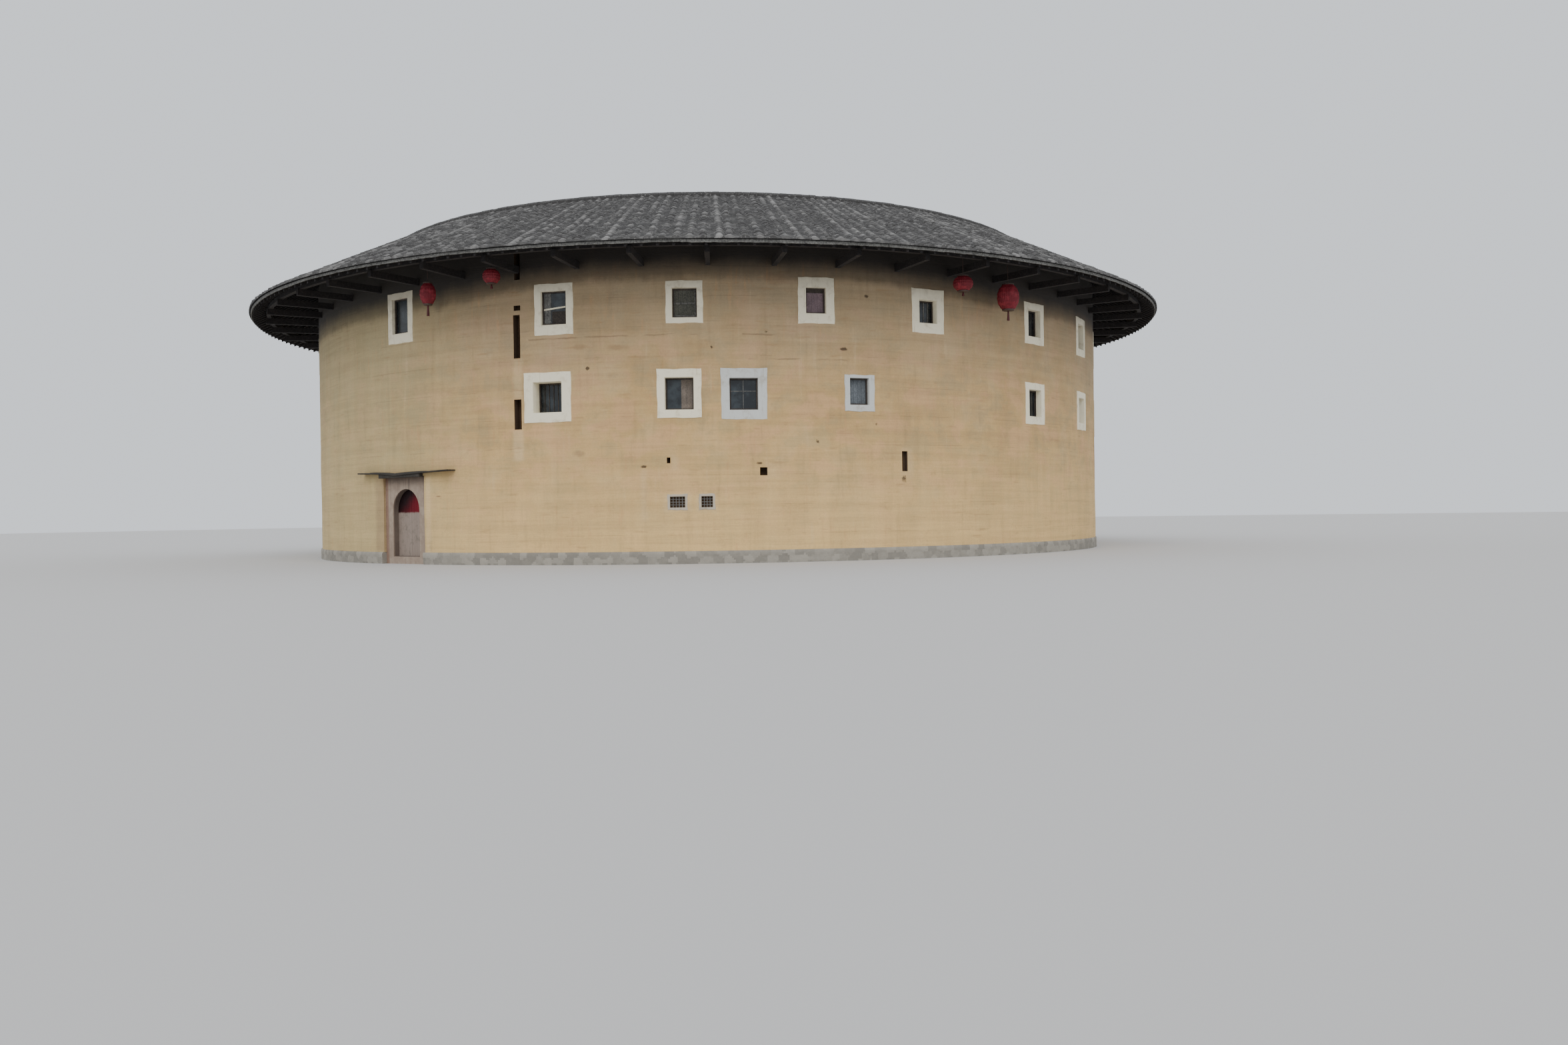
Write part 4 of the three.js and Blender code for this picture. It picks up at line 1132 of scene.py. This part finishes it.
def buildLeaf(name, side):
    # across the leaf: a front line with grooves, a back line with grooves, and a round heel about the pin
    s = leafSizes
    width, half, plain = s["axisX"] - s["middle"], s["half"], s["plainTone"]
    seams = np.linspace(0, width, s["boards"] + 1)[1:-1]
    groove = seams[:, None] + [-s["grooveHalf"], 0, s["grooveHalf"]]
    line = np.concatenate([[0.0], groove.ravel(), [width]])
    sink = np.concatenate([[0.0], np.tile([0, s["groove"], 0], len(seams)), [0.0]])
    heel = np.linspace(-np.pi / 2, -3 * np.pi / 2, s["heel"])[1:-1]
    away = np.concatenate([line, line[::-1], half * np.cos(heel)])
    depth = np.concatenate([half - sink, sink[::-1] - half, half * np.sin(heel)])
    z = np.linspace(s["low"], s["high"], s["rows"])
    rng = np.random.default_rng(s["seed"] + side)
    worn = rng.uniform(0, s["wear"], (s["rows"], len(line))) * (sink == 0)
    depth = np.tile(depth, (s["rows"], 1))
    depth[:, :len(line)] -= worn
    grid = np.stack(np.broadcast_arrays(side * (s["axisX"] - away), -(s["axisY"] + depth), z[:, None]), -1)
    # an end face is cut into strips between the two lines, and a fan over the heel
    n, count = len(line), len(away)
    k = np.arange(n - 1)
    strips = np.stack([k, k + 1, 2 * n - 2 - k, 2 * n - 1 - k], 1)
    rounded = np.array([0, *range(2 * n - 1, count)])
    ends = np.concatenate([strips, rounded[capQuads(len(rounded))]])
    last = s["rows"] - 1
    quads = np.concatenate([gridQuads(s["rows"], count, False, True), ends[:, ::-1], ends + last * count])
    boardTone = rng.uniform(0, 1, s["boards"])[np.searchsorted(seams, (line[:-1] + line[1:]) / 2)]
    across = np.full(count, plain)
    across[:n - 1], across[n:2 * n - 1] = boardTone, boardTone[::-1]
    shapes = [outward(grid.reshape(-1, 3), quads)]
    for end, out in ((s["low"], -1), (s["high"], 1)):
        low, high = sorted((end - out * s["pinFoot"], end + out * s["pinReach"]))
        shapes.append(turnedShape([(s["pin"], low), (s["pin"], high)], s["pinSides"],
                                  (side * s["axisX"], -s["axisY"])))
    near, far = sorted(side * (s["axisX"] - reach) for reach in s["ledgeSpan"])
    back = s["axisY"] - half + s["ledgeFoot"]
    for middle in s["ledges"]:
        shapes.append(ringBoxes(0, (near, far), (back - s["ledgeDepth"], back),
                                (middle - s["ledgeHalf"], middle + s["ledgeHalf"])))
    shape = merge(shapes)
    tone = np.full(len(shape[1]), plain)
    tone[:last * count] = np.tile(across, last)
    piece = makePiece(f"planked_{name}", shape, finishes["door"], body=name, tone=tone)
    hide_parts(f"door_{name}")


canopySizes = {"runs": [[(-2.30, 3.108), (-1.00, 3.088), (-0.222, 2.985)],
                        [(-0.218, 2.985), (1.10, 3.066), (2.62, 3.09)]],
               "thick": 0.045, "swell": 0.055, "reach": 1.6, "front": 16.648, "wall": 16.49, "steps": 60,
               "wear": 0.005, "edge": 0.008, "seed": 71, "beam": (-1.13, 1.13), "beamSteps": 24,
               "beamLow": 2.932, "beamHigh": 3.03, "beamFront": 16.61, "beamWear": 0.0015, "beamLap": 0.012}


def buildCanopy():
    # each run bends along a curve of x and z; the section reaches from the wall to the front edge
    s = canopySizes
    rng = np.random.default_rng(s["seed"])
    shapes, lines = [], []

    def addBar(x, front, low, top, ease):
        y, z = barSection(np.sqrt(s["wall"] ** 2 - x ** 2), front, low, top, ease)
        shapes.append(closedTube(np.stack(np.broadcast_arrays(x, -y, z), -1)))

    t = np.linspace(0, 1, s["steps"])[:, None]
    for run in s["runs"]:
        x, low = ((1 - t) ** 2 * a + 2 * t * (1 - t) * b + t * t * c for a, b, c in zip(*run))
        wear = np.cumsum(rng.normal(0, 1, (s["steps"], 2)), 0) / s["steps"] ** 0.5 * s["wear"]
        swell = s["swell"] * np.clip(1 - np.abs(x) / s["reach"], 0, 1) ** 0.5
        lines.append((x[:, 0], low[:, 0]))
        addBar(x, s["front"] - np.abs(wear[:, :1]), low, low + s["thick"] + swell + wear[:, 1:], s["edge"])
    # the top of the beam is shaped to the boards above it
    x = np.linspace(*s["beam"], s["beamSteps"])[:, None]
    ease = s["edge"] + rng.normal(0, s["beamWear"], x.shape)
    top = np.maximum(np.interp(x, *np.concatenate(lines, 1)) + s["beamLap"], s["beamHigh"])
    addBar(x, s["beamFront"] + 0 * x, s["beamLow"] + 0 * x, top, ease)
    piece = makePiece("canopy_boards", merge(shapes), finishes["canopyTimber"], smooth=50)
    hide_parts("door_canopy")


buildLeaf("leaf_left", -1)
buildLeaf("leaf_right", 1)
buildCanopy()


# Vents: a cast frame round each and a dark lattice in it

ventSizes = {"vents": [(35.99, 0.48), (39.19, 0.36)], "middle": 1.935, "height": 0.35, "border": 0.075,
             "reveal": 0.10, "seed": 300, "bar": 0.016, "spacing": 0.085, "levels": 3, "setBack": 0.05,
             "endGap": 0.002, "sideGap": 0.005}


def buildVents():
    s = ventSizes
    frames, bars = [], []
    low, high, bar = s["middle"] - s["height"] / 2, s["middle"] + s["height"] / 2, s["bar"]
    front = ringSizes["wallOuter"] - s["setBack"]
    for number, (angle, width) in enumerate(s["vents"]):
        theta = np.radians(angle)
        frames.append(surroundShape(angle, width, s["middle"], s["height"], (s["border"],) * 4,
                                    s["seed"] + number, s["reveal"]))
        for x in np.linspace(-width / 2, width / 2, int(width / s["spacing"]) + 1)[1:-1]:
            bars.append(ringBoxes(theta, (x - bar / 2, x + bar / 2), (front - bar, front),
                                  (low + s["endGap"], high - s["endGap"])))
        for z in np.linspace(low, high, s["levels"] + 2)[1:-1]:
            bars.append(ringBoxes(theta, (-width / 2 + s["sideGap"], width / 2 - s["sideGap"]),
                                  (front - 2 * bar, front - bar), (z - bar / 2, z + bar / 2)))
    makePiece("vent_frames", merge(frames), finishes["concrete"], smooth=40)
    makePiece("vent_lattice", merge(bars), finishes["lattice"])


buildVents()


# Lanterns: pleated cloth between two caps, on a thin rod, with a tassel. Each is given by its angle, radius,
# top, height and the length of its tassel.

lanternSizes = {
    "lanterns": [(9.09, 0.25, 9.02, 0.64, 0.33), (17.19, 0.27, 9.24, 0.42, 0.12),
                 (67.39, 0.32, 9.09, 0.45, 0.12), (73.89, 0.36, 9.00, 0.80, 0.32)],
    "distance": 17.60, "rows": 26, "sides": 96, "pleat": 0.045, "pleats": 16, "bulge": 2.4,
    "crease": 0.006, "creaseTurns": 31, "neck": 0.55, "cap": 0.05, "capSides": 32,
    "rod": 0.009, "rodSides": 10, "rodEnd": 0.01, "tassel": 0.045, "tasselSides": 28,
    "tasselPleat": 0.25, "tasselPleats": 14, "tasselTone": 0.8,
}


def buildLantern(number, angle, radius, top, height, tassel):
    # body radius: neck + (radius - neck) (1 - |2 v - 1|^bulge), with v from the foot to the top
    s = lanternSizes
    cap, wide, bottom = s["cap"], s["tassel"], top - height
    middle = around(math.radians(angle), s["distance"])
    v = np.linspace(0, 1, s["rows"])
    neck = radius * s["neck"]
    crease = s["crease"] * np.sin(v * s["creaseTurns"])
    belly = neck + (radius - neck) * (1 - np.abs(2 * v - 1) ** s["bulge"]) + crease
    profile = np.stack([belly, bottom + v * height], 1)
    cloth = turnedShape(profile, s["sides"], middle, s["pleat"], s["pleats"] * 2)
    # radius and height of the tassel from its foot, and below of a cap
    strand = [(wide, -cap - tassel), (wide * 0.75, -cap - tassel * 0.5), (wide * 0.55, -cap - 0.03),
              (wide * 0.35, -cap + 0.004)]
    tail = turnedShape([(r, bottom + h) for r, h in strand], s["tasselSides"], middle, s["tasselPleat"],
                       s["tasselPleats"] * 2)
    tone = np.repeat([0, s["tasselTone"]], [len(cloth[1]), len(tail[1])])
    body = makePiece(f"lantern_cloth_{number}", merge([cloth, tail]), finishes["cloth"],
                     smooth=35, tone=tone)
    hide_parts(f"lantern_{number}")
    ring = [(neck * 0.9, -0.004), (neck * 1.02, 0.004), (neck * 1.02, cap - 0.012), (neck * 0.85, cap)]
    caps = [turnedShape([(r, end + out * h) for r, h in ring], s["capSides"], middle)
            for end, out in ((top, 1), (bottom, -1))]
    rodTop = slopeHeight(s["distance"], "outer") - ringSizes["deckThickness"] + s["rodEnd"]
    rod = turnedShape([(s["rod"], top + cap - 0.005), (s["rod"], rodTop)], s["rodSides"], middle)
    makePiece(f"lantern_caps_{number}", merge([*caps, rod]), finishes["cap"], smooth=35)


for number, lantern in enumerate(lanternSizes["lanterns"], 1):
    buildLantern(number, *lantern)
print("doorway, vents and lanterns ready")


# Courtyard side: planked railings, posts on stone bases, joists under the floors

gallerySizes = {"bays": 27, "postRadius": 10.40, "railOuter": 10.279, "railInner": 10.199, "bayPlay": 0.001,
                "planks": 14, "gap": 0.004, "proud": (0.010, 0.016), "backing": 0.012, "backingLap": 0.01,
                "rail": 0.085, "railLap": 0.002, "newelHalf": 0.055, "newelDepth": 0.012, "newelFoot": 0.002,
                "newelRise": 0.03, "low": 0.10, "high": 1.00, "seed": 81, "second": 3.95, "third": 6.75,
                "baseHalf": 0.17, "baseSides": 16, "joists": 135, "joistHalf": 0.045, "joistDepth": 0.14,
                "joistTop": 0.199, "joistGap": 0.001, "joistInner": (9.94, 10.275), "joistStart": 10.525,
                "joistEnds": {"second": 15.29, "third": 15.44},
                "baseProfile": [(1.0, 0.145), (1.1, 0.20), (1.12, 0.28), (1.0, 0.36), (0.86, 0.42)]}


def buildRailing(storey, node):
    # straight lengths between the posts: planks on both faces of a thin backing, rails above and below them,
    # and newels at the ends
    s = gallerySizes
    flat, slant = math.cos(math.pi / s["bays"]), math.sin(math.pi / s["bays"])
    inner, outer = s["railInner"] * flat, s["railOuter"] * flat
    half, middle = s["railInner"] * slant - s["bayPlay"], (inner + outer) / 2
    low, high = s[storey] + s["low"], s[storey] + s["high"]
    bay = ringAngles(s["bays"])
    thin, lap = s["backing"] / 2, s["backingLap"]
    boxes = [((middle - thin, middle + thin), (low + lap, high - lap)),
             ((inner, outer), (high - s["rail"], high)),
             ((inner, outer), (low, low + s["rail"]))]
    shapes = [ringBoxes(bay, (-half, half), radius, heights) for radius, heights in boxes]
    shapes.append(ringBoxes(bay + np.pi / s["bays"], (-s["newelHalf"], s["newelHalf"]),
                            (s["railInner"] - s["newelDepth"], s["railOuter"]),
                            (s[storey] + s["newelFoot"], high + s["newelRise"])))
    rng = np.random.default_rng(s["seed"])
    edges = np.linspace(-half + s["newelHalf"], half - s["newelHalf"], s["planks"] + 1)
    heights = (low + s["rail"] - s["railLap"], high - s["rail"] + s["railLap"])
    for left, right in zip(edges[:-1], edges[1:]):
        proud = rng.uniform(*s["proud"], s["bays"])
        for radius in ((inner + proud, middle), (middle, outer - proud)):
            shapes.append(ringBoxes(bay, (left + s["gap"] / 2, right - s["gap"] / 2), radius, heights))
    piece = makePiece(f"railing_planks_{storey}", merge(shapes), finishes["galleryTimber"])
    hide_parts(node)


def buildCourt():
    s = gallerySizes
    for storey in s["joistEnds"]:
        buildRailing(storey, f"gallery_railing_{storey}")
    profile = [(r * s["baseHalf"], z) for r, z in s["baseProfile"]]
    bases = [turnedShape(profile, s["baseSides"], around(theta, s["postRadius"]))
             for theta in ringAngles(s["bays"], 0.5)]
    makePiece("post_bases", merge(bases), finishes["stone"], smooth=50)
    for storey, wall in s["joistEnds"].items():
        top = s[storey] - s["joistTop"]
        shapes = [ringBoxes(ringAngles(s["joists"], 0.5), (-s["joistHalf"], s["joistHalf"]), span,
                            (top - s["joistDepth"], top - s["joistGap"]))
                  for span in (s["joistInner"], (s["joistStart"], wall))]
        makePiece(f"joists_{storey}", merge(shapes), finishes["galleryTimber"])


buildCourt()
print("courtyard side ready")


# CAD nodes that keep their shape take a finish of this scene

nodeFinish = {"ground_floor": "paving", "door_surround": "doorStone", "second_floor": "floorBoards",
              "third_floor": "floorBoards", "eave_beams": "soffitTimber", "gallery": "galleryTimber"}


def dressNodes():
    for name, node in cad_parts.items():
        finish = next((nodeFinish[start] for start in nodeFinish if name.startswith(start)), "darkTimber")
        node.data.materials.clear()
        node.data.materials.append(finishes[finish])


dressNodes()


# Camera, floor and light

viewSizes = {"angle": 40.09, "distance": 54.0, "height": 1.52, "swing": -3.254, "pitch": -0.411,
             "roll": 0.817, "focalPixels": 1800, "imageWidth": 2352, "sensor": 36.0, "farEnd": 500}


def buildCamera():
    s = viewSizes
    theta, swing, pitch, roll = (math.radians(s[k]) for k in ("angle", "swing", "pitch", "roll"))
    towards = Vector((-math.sin(theta), math.cos(theta), 0))
    across = Vector((math.cos(theta), math.sin(theta), 0))
    up = Vector((0, 0, 1))
    ahead = math.cos(swing) * towards - math.sin(swing) * across
    right = math.sin(swing) * towards + math.cos(swing) * across
    tiltedUp = math.cos(pitch) * up - math.sin(pitch) * ahead
    axis = math.sin(pitch) * up + math.cos(pitch) * ahead
    rolledRight = math.cos(roll) * right - math.sin(roll) * tiltedUp
    rolledUp = math.sin(roll) * right + math.cos(roll) * tiltedUp
    lens = bpy.data.cameras.new("view")
    lens.sensor_width = s["sensor"]
    lens.lens = s["focalPixels"] * s["sensor"] / s["imageWidth"]
    lens.clip_end = s["farEnd"]
    camera = bpy.data.objects.new("view", lens)
    turn = Matrix((rolledRight, rolledUp, -axis)).transposed().to_4x4()
    camera.matrix_world = Matrix.Translation(Vector((0, 0, s["height"])) - towards * s["distance"]) @ turn
    bpy.context.scene.collection.objects.link(camera)
    bpy.context.scene.camera = camera


stageSizes = {"floor": 400.0, "floorColour": (0.52, 0.51, 0.50, 1), "skyColour": (0.86, 0.90, 0.95, 1),
              "skyStrength": 1.08, "sunStrength": 1.7, "sunAngle": 50.0, "sunTurn": -4.0, "sunFall": 1.1}


def buildStage():
    s = stageSizes
    half = s["floor"] / 2
    mesh = bpy.data.meshes.new("floor")
    corners = [(-half, -half, 0), (half, -half, 0), (half, half, 0), (-half, half, 0)]
    mesh.from_pydata(corners, [], [(0, 1, 2, 3)])
    floor = bpy.data.objects.new("floor", mesh)
    pale = Finish("pale_floor", Roughness=0.9)
    pale.set("Base Color", s["floorColour"])
    mesh.materials.append(pale.material)
    bpy.context.scene.collection.objects.link(floor)
    world = bpy.data.worlds.new("soft sky")
    world.use_nodes = True
    sky = world.node_tree.nodes["Background"]
    sky.inputs[0].default_value, sky.inputs[1].default_value = s["skyColour"], s["skyStrength"]
    bpy.context.scene.world = world
    lamp = bpy.data.lights.new("overcast sun", "SUN")
    lamp.energy = s["sunStrength"]
    lamp.angle = math.radians(s["sunAngle"])
    sun = bpy.data.objects.new("overcast sun", lamp)
    theta = math.radians(viewSizes["angle"] + s["sunTurn"])
    direction = Vector((-math.sin(theta), math.cos(theta), -s["sunFall"]))
    sun.rotation_euler = direction.to_track_quat("-Z", "Y").to_euler()
    bpy.context.scene.collection.objects.link(sun)


buildCamera()
buildStage()
print("camera and light ready")
